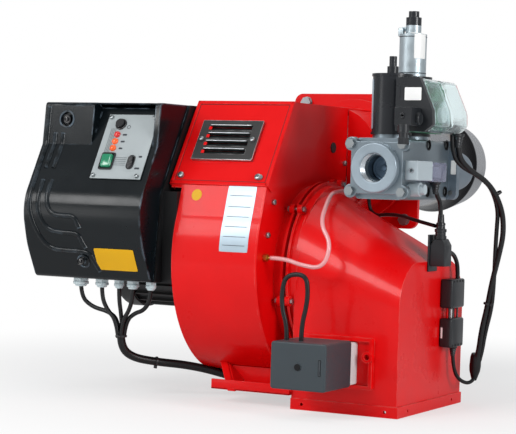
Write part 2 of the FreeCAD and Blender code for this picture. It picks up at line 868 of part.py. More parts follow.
def box_section(x, inset):
    """The air box's arched cross-section at x, moved in by a wall."""
    share = (x - s.box_left.value) / (s.box_right.value - s.box_left.value)
    top = s.box_top_left.value + share * (s.box_top_right.value - s.box_top_left.value)
    shoulder = s.box_round_left.value
    shoulder += share * (s.box_round_right.value - s.box_round_left.value)
    shoulder -= inset
    top -= inset * 1.2
    front = s.box_front.value + inset
    rear = s.box_front.value + s.box_deep.value - inset
    floor = s.box_floor.value - (1 if inset else 0)
    bow = shoulder * (1 - math.sqrt(0.5))
    line = Part.LineSegment
    edges = [
        line(Vector(x, front, floor), Vector(x, front, top - shoulder)),
        Part.Arc(
            Vector(x, front, top - shoulder), Vector(x, front + bow, top - bow),
            Vector(x, front + shoulder, top),
        ),
        line(Vector(x, front + shoulder, top), Vector(x, rear - shoulder, top)),
        Part.Arc(
            Vector(x, rear - shoulder, top), Vector(x, rear - bow, top - bow),
            Vector(x, rear, top - shoulder),
        ),
        line(Vector(x, rear, top - shoulder), Vector(x, rear, floor)),
        line(Vector(x, rear, floor), Vector(x, front, floor)),
    ]
    return shaped(Part.Wire([edge.toShape() for edge in edges]))


def lofted(*sections):
    item = doc.addObject("Part::Loft", "Loft")
    item.Sections = list(sections)
    item.Solid = True
    item.Ruled = True
    return item


def air_box():
    wall = s.box_wall.value
    left, right = s.box_left.value, s.box_right.value
    outer = lofted(box_section(left, 0), box_section(right, 0))
    inner = lofted(box_section(left + wall, wall), box_section(right - wall, wall))
    start = s.collar_end + s.seal_thick
    collar = cylinder((start, s.fan_y, s.fan_z), s.collar_radius, s.box_left - start + 4, "X")
    lip = cylinder((start, s.fan_y, s.fan_z), s.lip_radius, s.lip_thick, "X")
    ears = [cylinder((start,) + ear_place(i), 8, 8, "X") for i in range(EARS)]
    strips = [
        box((s.box_left, s.box_front - 3, s.box_floor), s.box_right - s.box_left + 3, 3, 18),
        box((s.box_right, s.box_front - 3, s.box_floor), 3, s.box_deep + 3, 18),
    ]
    shell = cut(fuse(outer, collar, lip, *ears, *strips), inner)
    bore = cylinder((start - 1, s.fan_y, s.fan_z), s.collar_bore, 30, "X")
    shaft = cylinder((s.damper_x, s.box_front - 5, s.damper_z), 9, 400, "Y")
    holes = [cylinder((start - 2,) + ear_place(i), 2.6, 14, "X") for i in range(EARS)]
    feet = [cylinder((x, s.box_front - 4, -399), 2.6, 12, "Y") for x in (89, 235)]
    feet += [cylinder((s.box_right - 6, y, -399), 2.6, 12, "X") for y in (-341, -154)]
    return node("air_box", cut(fuse(shell, servo_frame()), bore, shaft, *holes, *feet))


def seam_screws():
    start = s.collar_end - 8
    end = s.collar_end + s.seal_thick + 8
    screws = []
    for i in range(EARS):
        at = ear_place(i)
        shank = cylinder((start - 3,) + at, 2.5, end - start + 7, "X")
        head = cylinder((start - 5,) + at, 4.6, 5, "X")
        nut = hexagon((end,) + at, 4.6, 4, "X")
        screws.append(fuse(shank, head, nut))
    return screws


def servo_frame():
    wide = s.frame_right - s.frame_left
    low = s.servo_low - 4
    outer = rectangle(s.frame_left, low, wide, s.servo_high + 8)
    start = s.box_front - s.frame_deep
    body = new_body("servo_frame")
    pad_outline(body, "XZ", outer, start, s.frame_deep)
    round_edges(body, 4, lambda e: runs_along(e, "Y"))
    rim = s.frame_wall
    inner = rectangle(
        s.frame_left + rim, low + rim, wide - 2 * rim, s.servo_high + 8 - 2 * rim
    )
    pocket_outline(body, "XZ", inner, start, s.frame_deep)
    pad_circles(body, "XZ", [(s.frame_right - 8, s.damper_z, 9)], start - 3, s.frame_deep + 3)
    pocket_circles(body, "XZ", [(s.frame_right - 8, s.damper_z, 4.5)], start - 3, 12)
    return body


def servo_base():
    body = new_body("servo_base")
    start = s.box_front - s.servo_base
    points = rectangle(s.servo_left + 1, s.servo_low + 3, s.servo_wide - 2, s.servo_high - 7)
    pad_outline(body, "XZ", points, start, s.servo_base)
    round_edges(body, 3, lambda e: runs_along(e, "Y"))
    hole = [(s.damper_x, s.damper_z, s.damper_rod + s.slack)]
    pocket_circles(body, "XZ", hole, start, s.servo_base)
    gear, screw = servo_gear()
    node("servo_base", fuse(body, gear))
    return [screw]


def servo_cover():
    body = new_body("servo_cover")
    start = s.box_front - s.servo_base - s.servo_deep
    points = rectangle(s.servo_left, s.servo_low, s.servo_wide, s.servo_high)
    pad_outline(body, "XZ", points, start, s.servo_deep)
    round_edges(body, 5, lambda e: runs_along(e, "Y"))
    front = float(start)
    round_edges(
        body, 2.5, lambda e: all(abs(v.Point.y - front) < 0.01 for v in e.Vertexes)
    )
    inside = rectangle(s.servo_left + 3, s.servo_low + 3, s.servo_wide - 6, s.servo_high - 6)
    pocket_outline(body, "XZ", inside, start + 3, s.servo_deep)
    slot = rectangle(s.servo_left + s.servo_wide - 12, s.servo_low + 24, 3.5, 26)
    pocket_outline(body, "XZ", slot, start, 3)
    pocket_circles(
        body, "XZ", [(s.servo_left + s.servo_wide / 2, s.servo_low + 36, 3)], start, 3
    )
    return node("servo_cover", body)


def servo_gear():
    start = s.box_front - s.servo_base - s.servo_deep
    x, z = s.servo_left + s.servo_wide / 2, s.servo_low + 36
    base = box((s.servo_left + 12, start + 40, s.servo_low + 14), s.servo_wide - 30, 52, 46)
    post = cylinder((x, start + 4, z), 6, 37, "Y")
    screw = fuse(
        cylinder((x, start - 2, z), 5.2, 2, "Y"), cylinder((x, start - 1, z), 2.8, 8, "Y")
    )
    return cut(fuse(base, post), cylinder((x, start - 1, z), 2.8, 8, "Y")), screw


def damper():
    half = s.damper_x - s.box_left - s.box_wall - s.damper_gap
    front = s.box_front + s.box_wall + s.damper_gap + 8
    deep = s.box_deep - 2 * s.box_wall - 2 * s.damper_gap - 16
    flap = box(
        (s.damper_x - half, front, s.damper_z - s.damper_thick / 2), half * 2, deep,
        s.damper_thick,
    )
    hub = cylinder((s.damper_x, front, s.damper_z), s.damper_rod + 4, deep, "Y")
    rod_start = s.box_front - s.servo_base + 4
    rod_long = s.box_deep + s.servo_base - 2
    rod = cylinder((s.damper_x, rod_start, s.damper_z), s.damper_rod, rod_long, "Y")
    core = cylinder((s.damper_x, rod_start, s.damper_z), s.damper_rod, rod_long, "Y")
    node("damper_flap", cut(fuse(flap, hub), core))
    node("damper_shaft", rod)
    bushes = []
    rear = s.box_front + s.box_deep
    for body_start, flange_start in (
        (s.box_front, s.box_front + s.box_wall),
        (rear - 10, rear - s.box_wall - 4),
    ):
        sleeve = cylinder((s.damper_x, body_start, s.damper_z), 9, 10, "Y")
        rim = cylinder((s.damper_x, flange_start, s.damper_z), 12, 4, "Y")
        bore = cylinder(
            (s.damper_x, body_start - 1, s.damper_z), s.damper_rod + 0.05, 12, "Y"
        )
        bushes.append(cut(fuse(sleeve, rim), bore))
    node("damper_bushes", group(*bushes))


def foot_bracket():
    wide = s.box_left - s.foot_left
    top = s.foot_floor + s.foot_thick
    plate = box((s.foot_left, s.foot_front, s.foot_floor), wide, s.foot_deep, s.foot_thick)
    ribs = [
        box((x, s.foot_front, top - 1), 6, s.foot_deep, 76) for x in (-44, -14, 22)
    ]
    web = box((-44, s.foot_front, top - 1), 72, 5, 72)
    opening = box((-26, s.foot_front - 1, top + 6), 46, 10, 30)
    slots = [cylinder((x, s.foot_front + s.foot_deep - 20, s.foot_floor - 1), 5, 12)
             for x in (-60, 45)]
    bracket = cut(fuse(plate, cut(web, opening), *ribs), scroll_solid(), *slots)
    return node("foot_bracket", bracket)


def seat_on_fan_axis(body):
    """Moves a body that is built about the X axis to the fan axis."""
    body.Placement = Placement(Vector(0, s.fan_y.value, s.fan_z.value), Rotation())
    bind(body, "Placement.Base.y", s.fan_y)
    bind(body, "Placement.Base.z", s.fan_z)
    doc.recompute()
    return body


def repeat_round(body, feature, count, axis="X"):
    pattern = body.newObject("PartDesign::PolarPattern", "Ring")
    pattern.Originals = [feature]
    line = [f for f in body.Origin.OriginFeatures if f.Role == axis + "_Axis"][0]
    pattern.Axis = (line, [""])
    pattern.Angle = 360
    pattern.Occurrences = count
    body.Tip = pattern
    doc.recompute()
    return pattern


ROTOR_RADIUS = 40


def motor_body():
    body = new_body("motor_body")
    flange = 8
    long = s.case_left - s.motor_left
    pad_circles(body, "YZ", [(0, 0, s.motor_radius)], s.motor_left, long)
    fin = pad_outline(
        body, "YZ", rectangle(s.motor_radius - 2, -1.2, s.fin_height + 2, 2.4),
        s.motor_left + 8, long - flange - 8,
    )
    repeat_round(body, fin, 24)
    pad_circles(body, "YZ", [(0, 0, s.motor_cap_radius - 2)], s.motor_left, 8)
    pad_circles(body, "YZ", [(0, 0, s.motor_cap_radius + 4)], s.case_left - flange, flange)
    pad_circles(body, "YZ", [(0, 0, s.shaft_radius + 12)], s.case_left, s.case_wall)
    bore = [(0, 0, s.shaft_radius + 0.05)]
    pocket_circles(body, "YZ", bore, s.motor_left, long + s.case_wall)
    cavity = body.newObject("PartDesign::Groove", "Cavity")
    item = new_sketch(body, "XY", 0)
    start, end = s.motor_left + 14, s.case_left - 16
    outline(item, [(start, 0), (end, 0), (end, ROTOR_RADIUS + 1), (start, ROTOR_RADIUS + 1)])
    cavity.Profile = item
    line = [f for f in body.Origin.OriginFeatures if f.Role == "X_Axis"][0]
    cavity.ReferenceAxis = (line, [""])
    cavity.Angle = 360
    body.Tip = cavity
    doc.recompute()
    return node("motor_body", seat_on_fan_axis(body))


def motor_fan_cover():
    body = new_body("motor_fan_cover")
    long = s.motor_left - s.motor_cap_left + 6
    pad_circles(body, "YZ", [(0, 0, s.motor_cap_radius)], s.motor_cap_left, long)
    left = float(s.motor_cap_left)
    round_edges(body, 9, lambda e: all(abs(v.Point.x - left) < 0.01 for v in e.Vertexes))
    pocket_circles(
        body, "YZ", [(0, 0, s.motor_cap_radius - 11)], s.motor_cap_left + 2, long
    )
    pocket_circles(
        body, "YZ", [(0, 0, s.motor_cap_radius - 2)], s.motor_cap_left + 9, long
    )
    slot = pocket_outline(
        body, "YZ", rectangle(22, -3, 40, 6), s.motor_cap_left, 3
    )
    repeat_round(body, slot, 16)
    return node("motor_fan_cover", seat_on_fan_axis(body))


def motor_shaft():
    body = new_body("motor_shaft")
    start = s.motor_cap_left + 8
    end = s.wheel_left + 34
    pad_circles(body, "YZ", [(0, 0, s.shaft_radius)], start, end - start)
    rotor_start = s.motor_left + 20
    rotor_end = s.case_left - 22
    pad_circles(body, "YZ", [(0, 0, ROTOR_RADIUS)], rotor_start, rotor_end - rotor_start)
    return seat_on_fan_axis(body)


def cooling_fan():
    body = new_body("cooling_fan")
    start = s.motor_cap_left + 9
    circles = [(0, 0, 60), (0, 0, s.shaft_radius)]
    pad_circles(body, "YZ", circles, start + 10, 2)
    blade = pad_outline(body, "YZ", rectangle(20, -1, 42, 2), start, 11)
    repeat_round(body, blade, 8)
    return seat_on_fan_axis(body)


def impeller():
    body = new_body("impeller")
    inner, outer, thick = s.wheel_inner, s.wheel_radius, s.blade_thick
    pad_circles(body, "YZ", [(0, 0, outer), (0, 0, s.shaft_radius)], s.wheel_left, 2)
    pad_circles(body, "YZ", [(0, 0, 24), (0, 0, s.shaft_radius)], s.wheel_left, 34)
    points = [
        (inner, 0), (inner + 14, 3.5), (outer - 4, 13), (outer - 4 - thick * 0.6, 13 + thick),
        (inner + 13, 3.5 + thick), (inner, thick),
    ]
    blade = pad_outline(body, "YZ", points, s.wheel_left + 1, s.wheel_wide - 1)
    repeat_round(body, blade, 28)
    ring = [(0, 0, outer), (0, 0, inner)]
    pad_circles(body, "YZ", ring, s.wheel_left + s.wheel_wide - 2, 2)
    return node("impeller", seat_on_fan_axis(body))


def panel_points(inset, reach):
    """The control panel cover's side outline, moved in by a wall, open towards the back."""
    top = s.panel_top - inset
    low = s.panel_low + inset
    shift = inset * 1.1
    return [
        (s.panel_brow + 98 + reach, top),
        (s.panel_brow + 6 + shift, top),
        (s.panel_brow - 2 + shift, s.band_low),
        (
            s.panel_brow - 2 + shift - s.slope_run * cosine(s.panel_angle),
            s.band_low - s.slope_run * sine(s.panel_angle),
        ),
        (s.bulge_front + shift, s.band_low - 120),
        (s.bulge_front + 13 + shift, s.band_low - 169),
        (s.bulge_front + 42 + shift, low),
        (s.bulge_front + 51 + reach, low),
        (s.bulge_front + 65 + reach, s.band_low - 81),
    ]


def side_face(points):
    corners = [Vector(0, float(sized(y)), float(sized(z))) for y, z in points]
    return Part.Face(Part.makePolygon(corners + corners[:1]))


RECESSES = ((-338, 53, 13), (-277, -183, 10))


def panel_recess(widen):
    """The step round the control plate's upper part."""
    return panel_slope.put(
        box((0, 0, 0), s.control_wide + 22 + 2 * widen, s.control_up + 14 + widen, 70),
        s.control_left - 20 - widen, -widen, -widen,
    )


def cup(x, z, radius, depth):
    y = -500 if z < -100 else s.panel_brow - 6
    return cylinder((x, y, z), radius, depth, "Y")


def control_holes():
    """Openings behind the control plate for its button, lamps and rockers."""
    holes = [panel_slope.put(cylinder((0, 0, 0), s.button_radius + 2, 30), -237, 39, -20)]
    for x, u in LAMPS:
        holes.append(panel_slope.put(cylinder((0, 0, 0), s.lamp_radius, 30), x, u, -20))
    for x, u, wide, high in ROCKERS:
        holes.append(panel_slope.put(
            box((0, 0, 0), wide - 2, high - 2, 40), x - wide / 2 + 1, u - high / 2 + 1, -30
        ))
    for x, u in PLATE_SCREWS:
        holes.append(panel_slope.put(cylinder((0, 0, 0), 2, 30), x, u, -20))
    return holes


LAMPS = ((-238, 19), (-238, 6), (-238, -7))
ROCKERS = ((-241, -32, 25, 31), (-195, -33, 20, 32))


def panel_cover():
    outer = extruded(side_face(panel_points(0, 0)), s.panel_left, s.panel_wide)
    outer = cut(
        outer, panel_recess(0), *[cup(x, z, r, 15 if z > 0 else 24) for x, z, r in RECESSES]
    )
    inner = extruded(
        side_face(panel_points(3, 40)), s.panel_left + s.panel_wall,
        s.panel_wide - 2 * s.panel_wall,
    )
    inner = cut(
        inner, panel_recess(3), *[cup(x, z, r + 3, 18 if z > 0 else 27) for x, z, r in RECESSES]
    )
    holes = [cylinder((x, -500, z), 2.2, 90, "Y") for x, z, r in RECESSES]
    return node("panel_cover", cut(cut(outer, inner), *control_holes(), *holes))


def panel_base():
    wall = s.panel_wall
    edge = panel_points(0, 0)
    points = [edge[0], edge[8], edge[7], (s.panel_back, s.panel_low), (s.panel_back, s.panel_top)]
    wide = s.duct_left - 6 - s.panel_left
    outer = extruded(side_face(points), s.panel_left, wide)
    hollow = [
        (s.panel_brow + 60, s.panel_top - wall), (s.panel_brow - 30, s.panel_low + wall),
        (s.panel_back - wall, s.panel_low + wall), (s.panel_back - wall, s.panel_top - wall),
    ]
    inner = extruded(side_face(hollow), s.panel_left + wall, wide - 2 * wall)
    start = s.panel_left + wide - 1
    low = s.panel_low
    ledge = box((start, -430, low), s.case_left - start, s.panel_back + 430, 150)
    ledge_hollow = box(
        (start - 4, -427, low + wall), s.case_left - start + 4 - wall, s.panel_back + 427 - wall, 144
    )
    lugs = [box((x - 8, s.panel_back - 30, z - 6), 16, 30, 12) for x, z, r in RECESSES]
    bore = [cylinder((x, -500, z), 2.2, 170, "Y") for x, z, r in RECESSES]
    base = cut(fuse(cut(fuse(outer, ledge), inner, ledge_hollow), *lugs), *bore)
    return node("panel_base", base)


def control_plate():
    low = -s.control_down
    plate = panel_slope.put(
        box((0, 0, 0), s.control_wide, s.control_up + s.control_down, s.control_sheet),
        s.control_left, low, 0,
    )
    return node("control_plate", cut(plate, *control_holes()))


PLATE_SCREWS = ((-259, -59), (-175, -59), (-259, 52), (-175, 52))


def control_pieces():
    top = s.control_sheet
    button = panel_slope.put(cylinder((0, 0, 0), s.button_radius, 22), -237, 39, -14)
    node("reset_button", button)
    bezel = panel_slope.put(cylinder((0, 0, 0), s.button_radius + 3.5, 3), -237, 39, top)
    sleeve = panel_slope.put(cylinder((0, 0, 0), s.button_radius + 1.9, 22), -237, 39, top - 21)
    bore = panel_slope.put(cylinder((0, 0, 0), s.button_radius + s.slack, 60), -237, 39, -30)
    bezels = [cut(fuse(bezel, sleeve), bore)]
    lamps = []
    for x, u in LAMPS:
        dome = panel_slope.put(cone((0, 0, 0), s.lamp_radius + 1, 2.5, 3.5), x, u, top)
        stem = panel_slope.put(cylinder((0, 0, 0), s.lamp_radius, 16), x, u, top - 15)
        lamps.append(fuse(dome, stem))
    node("fault_lamp", lamps[0])
    node("run_lamps", group(*lamps[1:]))
    for name, (x, u, wide, high) in zip(("power", "stage"), ROCKERS):
        rim = panel_slope.put(box((0, 0, 0), wide, high, 2.5), x - wide / 2, u - high / 2, top)
        body = panel_slope.put(
            box((0, 0, 0), wide - 2, high - 2, 20), x - wide / 2 + 1, u - high / 2 + 1, top - 19
        )
        well = panel_slope.put(
            box((0, 0, 0), wide - 6, high - 5, 20), x - wide / 2 + 3, u - high / 2 + 2.5, top - 12
        )
        bezels.append(cut(fuse(rim, body), well))
        node(name + "_rocker", rocker(x, u, wide - 6.8, high - 6, top))
    node("control_bezels", group(*bezels))


def rocker(x, u, wide, high, top):
    """A rocker key, at rest tipped by half its throw."""
    turn = math.radians(8)
    pivot = -1.5
    ends = high / 2
    up = Vector(0, 1, 0)
    profile = [
        Vector(0, -ends - 1, -5), Vector(0, ends + 1, -5), Vector(0, ends + 1, 6.5),
        Vector(0, 0, 3.6), Vector(0, -ends - 1, 6.5),
    ]
    face = Part.Face(Part.makePolygon(profile + profile[:1]))
    solid = face.extrude(Vector(wide, 0, 0))
    round_end = Part.makeCylinder(ends, wide, Vector(0, 0, 0), Vector(1, 0, 0))
    solid = solid.common(round_end)
    solid.rotate(Vector(0, 0, 0), Vector(1, 0, 0), math.degrees(turn))
    item = shaped(solid)
    return panel_slope.put(item, x - wide / 2, u, top + pivot)


def panel_screws():
    screws = []
    for x, u in PLATE_SCREWS:
        head = panel_slope.put(cylinder((0, 0, 0), 3.4, 2), x, u, s.control_sheet)
        shank = panel_slope.put(cylinder((0, 0, 0), 2, 8), x, u, s.control_sheet - 7)
        screws.append(fuse(head, shank))
    for x, z, r in RECESSES:
        front = s.panel_brow + 9 if z > 0 else -476
        head = cylinder((x, front - 4, z), 4.5, 4, "Y")
        shank = cylinder((x, front - 3, z), 2.2, s.panel_back - 22 - front, "Y")
        screws.append(fuse(head, shank))
    return screws


GLANDS = ((-309, 10.5), (-267, 10.5), (-233, 8.5), (-206, 8.5), (-171, 8.5))


def cable_glands():
    glands = []
    for x, radius in GLANDS:
        nut = hexagon((x, -430, s.panel_low - 9), radius, 9)
        dome = cone((x, -430, s.panel_low - 15), radius * 0.6, radius * 0.84, 6)
        bore = cylinder((x, -430, s.panel_low - 16), 3.2, 20)
        glands.append(cut(fuse(nut, dome), bore))
    return node("cable_glands", group(*glands))


def panel_inside():
    back = s.panel_back - s.panel_wall
    controller = box((-373, back - 84, -190), 76, 84, 112)
    socket = box((-373, back - 92, -184), 76, 8, 100)
    node("burner_controller", fuse(controller, socket))
    transformer = box((-286, back - 70, -150), 74, 70, 60)
    towers = [cylinder((x, back - 35, -91), 9, 22) for x in (-270, -228)]
    node("ignition_transformer", fuse(transformer, *towers))
    rail = box((-262, back - 4, -196), 102, 4, 20)
    blocks = [box((-260 + 12.4 * i, back - 26, -200), 11.4, 22, 28) for i in range(8)]
    node("terminal_strip", fuse(rail, *blocks))


def gas_flange_places():
    return [(s.gas_x + i * s.gas_bolt_x, s.gas_z + k * s.gas_bolt_z)
            for i in (-1, 1) for k in (-1, 1)]


def inlet_flange():
    seat = s.block_front - s.ear_thick
    boss = cylinder((s.gas_x, s.inlet_face, s.gas_z), s.inlet_radius, s.block_front - s.inlet_face, "Y")
    ears = []
    for x, z in gas_flange_places():
        ears.append(cylinder((x, seat, z), 11, s.ear_thick, "Y"))
    plate = box(
        (s.gas_x - s.gas_bolt_x, seat, s.gas_z - s.gas_bolt_z - 4), s.gas_bolt_x * 2, s.ear_thick,
        s.gas_bolt_z * 2 + 8,
    )
    bore = cylinder((s.gas_x, s.inlet_face - 1, s.gas_z), s.gas_bore, 60, "Y")
    holes = [cylinder((x, seat - 1, z), 4.2, 30, "Y") for x, z in gas_flange_places()]
    return node("inlet_flange", cut(fuse(boss, plate, *ears), bore, *holes))


def gas_bolts():
    seat = s.block_front - s.ear_thick
    rear = s.block_front + s.block_deep + s.ear_thick
    bolts = []
    for x, z in gas_flange_places():
        head = hexagon((x, seat - 6, z), 7.5, 6, "Y")
        shank = cylinder((x, seat - 1, z), 4, s.ear_thick + 1, "Y")
        bolts.append(fuse(head, shank))
        head = hexagon((x, rear, z), 7.5, 6, "Y")
        shank = cylinder((x, rear - s.ear_thick, z), 4, s.ear_thick + 1, "Y")
        bolts.append(fuse(head, shank))
    return bolts


BLOCK_SCREWS = ((-301, 24), (-301, -51), (-226, 26), (-226, -50))


def valve_block():
    body = new_body("valve_block")
    left = s.gas_x - s.block_wide / 2
    low = s.gas_z - s.block_high / 2 - 1
    points = rectangle(left, low, s.block_wide, s.block_high)
    pad_outline(body, "XZ", points, s.block_front, s.block_deep)
    round_edges(body, 6, lambda e: runs_along(e, "Y"))
    bore = [(s.gas_x, s.gas_z, s.gas_passage)]
    pocket_circles(body, "XZ", bore, s.block_front, s.block_deep)
    pads = [(s.gas_x, y, s.coil_radius - 2) for y in (s.coil_y, s.rear_coil_y)]
    pad_circles(body, "XY", pads, low + s.block_high - 2, 8)
    right = s.gas_x + s.block_wide / 2
    pocket_circles(
        body, "YZ", [(y, z, 7) for y, z in BLOCK_SCREWS], right - 4, 5
    )
    return node("valve_block", body)


def block_screws():
    right = s.gas_x + s.block_wide / 2 - 4
    screws = []
    for y, z in BLOCK_SCREWS:
        head = cylinder((right, y, z), 4.8, 2.6, "X")
        cross = [
            box((right + 1.4, y - 3, z - 0.5), 2, 6, 1), box((right + 1.4, y - 0.5, z - 3), 2, 1, 6)
        ]
        screws.append(cut(head, *cross))
    return screws


def coil(y):
    low = s.gas_z + s.block_high / 2 + 5
    top = s.coil_top
    shell = cylinder((s.gas_x, y, low), s.coil_radius, top - low)
    rims = [
        cylinder((s.gas_x, y, z), s.coil_radius + 1.5, 4) for z in (low, top - 4)
    ]
    return fuse(shell, *rims)


def coil_fittings():
    cap = cylinder((s.gas_x, s.coil_y, s.coil_top), 9, 12)
    tip = cylinder((s.gas_x, s.coil_y, s.coil_top + 12), 6, 16)
    node("coil_adjuster", fuse(cap, tip))
    base = cylinder((s.gas_x, s.rear_coil_y, s.coil_top), s.brake_radius, s.brake_top - s.coil_top)
    collar = cylinder((s.gas_x, s.rear_coil_y, s.brake_top), s.cap_radius, s.neck_top - s.brake_top)
    lug = box((s.gas_x - s.cap_radius - 6, s.rear_coil_y - 4, s.neck_top - 9), 12, 8, 7)
    node("hydraulic_brake", fuse(base, collar, lug))
    knob = cylinder((s.gas_x, s.rear_coil_y, s.neck_top), s.cap_radius, s.cap_top - s.neck_top)
    nose = cylinder((s.gas_x, s.rear_coil_y, s.cap_top), 8.5, s.tip_top - s.cap_top)
    mark = box((s.gas_x - 1, s.rear_coil_y - 9, s.tip_top - 2), 2, 18, 3)
    node("brake_cap", cut(fuse(knob, nose), mark))


def stack_points(left, inset):
    low = s.stack_low + inset
    high = s.stack_low + s.stack_high - inset
    out = -inset
    return [
        (left, low), (s.stack_left + 40 + out, low), (s.stack_left + 54 + out, low + 11),
        (s.stack_left + 53 + out, s.stack_low + 33), (s.stack_left + 30 + out, high), (left, high),
    ]


def switch_stack():
    body = new_body("terminal_box")
    pad_outline(body, "XZ", stack_points(s.stack_left - 9, 0), s.stack_front, s.stack_plate)
    round_edges(body, 2, lambda e: runs_along(e, "Y"))
    label = rectangle(s.stack_left - 2, s.stack_low + 50, 30, 20)
    pocket_outline(body, "XZ", label, s.stack_front, 0.6)
    node("terminal_box", body)
    hoods = []
    bases = []
    for i, dial_name in enumerate(("dial_min", "dial_max")):
        start = s.stack_front + s.stack_plate + 0.5 + i * (s.hood_long + 1)
        left = s.stack_left + 6
        hood = new_body("hood")
        pad_outline(hood, "XZ", stack_points(left, 0), start, s.hood_long)
        round_edges(hood, 2, lambda e: runs_along(e, "Y"))
        wall = s.hood_wall
        pocket_outline(
            hood, "XZ", stack_points(left - 1, wall), start + wall, s.hood_long - 2 * wall
        )
        hoods.append(hood)
        base = new_body("switch_base")
        rim = s.gas_x + s.coil_radius
        points = rectangle(rim, s.stack_low, s.stack_left + 6 - rim, s.stack_high)
        pad_outline(base, "XZ", points, start, s.hood_long)
        middle = start + s.hood_long / 2
        pad_circles(base, "YZ", [(middle, s.stack_low + 30, 17)], s.stack_left + 5, 12)
        board = rectangle(s.stack_left + 5, s.stack_low + 52, 9, 14)
        pad_outline(base, "XZ", board, start + 8, s.hood_long - 16)
        stem = [(middle, s.stack_low + 30, 4.3)]
        pocket_circles(base, "YZ", stem, s.stack_left + 9, 9)
        bases.append(base)
        knob = fuse(
            cylinder((s.stack_left + 17.3, middle, s.stack_low + 30), 13, 7, "X"),
            cylinder((s.stack_left + 11, middle, s.stack_low + 30), 4, 8, "X"),
        )
        ridge = box((s.stack_left + 22.5, middle - 1.5, s.stack_low + 20), 2, 3, 20)
        node(dial_name, cut(knob, ridge))
    node("switch_bases", group(*bases))
    return hoods


def plugs(hoods):
    y = s.stack_front
    shell = box((262, y - 38, 51), 28, 38, 28)
    cap = cylinder((276, y - 33, 40), 9, 12)
    outlet = cylinder((276, y - 33, 24), 7, 18)
    gland_nut = hexagon((276, y - 33, 22), 9.5, 10)
    screw_seat = cylinder((276, y - 39, 64), 3.2, 6, "Y")
    node("coil_plug", cut(fuse(shell, cap, outlet, gland_nut), screw_seat))
    right = s.gas_x + s.block_wide / 2
    body = box((right, -400, -33), 24, 62, 31)
    seat = cylinder((right + 13, -401, -18), 3.2, 6, "Y")
    node("switch_hoods", group(*hoods, box((right, -338, -34), 24, 56, 30)))
    pilot = cut(body, seat)
    steps = fuse(
        cylinder((right, -372, -47), 11, 18, "X"), cylinder((right + 18, -372, -47), 8, 8, "X")
    )
    node("pilot_plug", group(pilot, steps))


def gas_elbow():
    x, y, z = s.gas_x.value, s.elbow_y.value, s.gas_z.value
    radius = s.elbow_radius.value
    start = (s.block_front + s.block_deep).value
    points = [Vector(x, start, z), Vector(x, y, z), Vector(s.neck_radius.value - 22, y, z)]
    outer = pipe_along(rounded_wire(points, [s.elbow_bend.value]), radius, points)
    collar = Part.makeCylinder(radius + 2.5, 9, Vector(s.neck_radius.value + 10, y, z), Vector(1, 0, 0))
    plate = Part.makeBox(
        2 * s.gas_bolt_x.value + 22, s.ear_thick.value, 2 * s.gas_bolt_z.value + 22,
        Vector(x - s.gas_bolt_x.value - 11, start, z - s.gas_bolt_z.value - 11),
    )
    plate = plate.makeFillet(10, [e for e in plate.Edges if runs_along(e, "Y")])
    solid = outer.fuse([collar, plate])
    inner = pipe_along(rounded_wire(points, [s.elbow_bend.value]), s.gas_passage.value, points)
    neck = Part.makeCylinder(s.neck_radius.value, 200, Vector(0, -200, 0), Vector(0, 1, 0))
    solid = solid.cut(inner).cut(neck)
    for bolt_x, bolt_z in gas_flange_places():
        solid = solid.cut(Part.makeCylinder(
            4.2, 30, Vector(bolt_x.value, start - 1, bolt_z.value), Vector(0, 1, 0)
        ))
    return node("gas_elbow", shaped(solid.removeSplitter()))


def air_switch():
    x, z = 76, -38
    front = s.duct_rear - 90
    body = fuse(
        cylinder((x, front - 12, z), 18, 12, "Y"), cylinder((x, front - 30, z), 15, 18, "Y"),
        cylinder((x, front - 37, z - 12), 4, 8, "Y"), cylinder((x + 8, front - 18, z - 20), 4, 12),
    )
    return node("air_pressure_switch", body)


def hose_nipple():
    at = (-417, -164)
    return node("hose_nipple", fuse(
        cylinder((s.case_right,) + at, 5, 8, "X"), hexagon((s.case_right + 2,) + at, 6.5, 5, "X"),
        cylinder((s.case_right,) + at, 2.8, 12, "X"),
    ))


def plug_box():
    right = s.box_right
    back = box((right, -276, -214), 3, 44, 92)
    body = box((right + 3, -270, -171), 26, 30, 46)
    rings = [cylinder((s.box_right + 15, -256, -125 + 7.4 * i), 8, 4.6) for i in range(5)]
    core = cylinder((s.box_right + 15, -256, -125), 6.4, 37)
    return node("plug_box", group(fuse(back, body), fuse(core, *rings)))


def connectors():
    right = s.box_right
    shells = []
    for low in (-242, -307):
        shell = box((right, -213, low), 22, 56, 48)
        groove = box((right + 18, -214, low + 20), 6, 58, 8)
        shells.append(cut(shell, groove))
    pins = [
        cylinder((right + x, y, -260), 1.6, 19) for x in (7, 15) for y in (-205, -192, -179, -166)
    ]
    return node("connectors", fuse(*shells, *pins))


def cover_screws():
    screws = []
    seat = s.slack + s.cover_sheet
    rows = [(s.duct_left + 14, 16), (s.case_right - 16, 16)]
    for x, u in rows:
        head = cover_slope.put(cylinder((0, 0, 0), 5, 2.5), x, u, seat)
        screws.append(head)
    grille_seat = seat + s.grille_thick
    for x in (grille_left() + 8, grille_left() + s.grille_wide - 8):
        screws.append(cover_slope.put(
            cylinder((0, 0, 0), 3.6, 2), x, grille_low() + s.grille_high / 2, grille_seat
        ))
    right = s.case_right
    for at in panel_screw_spots():
        screws.append(fuse(
            cylinder((right,) + at, 4.5, 2.5, "X"), cylinder((right - 3,) + at, 2, 4, "X")
        ))
    return screws


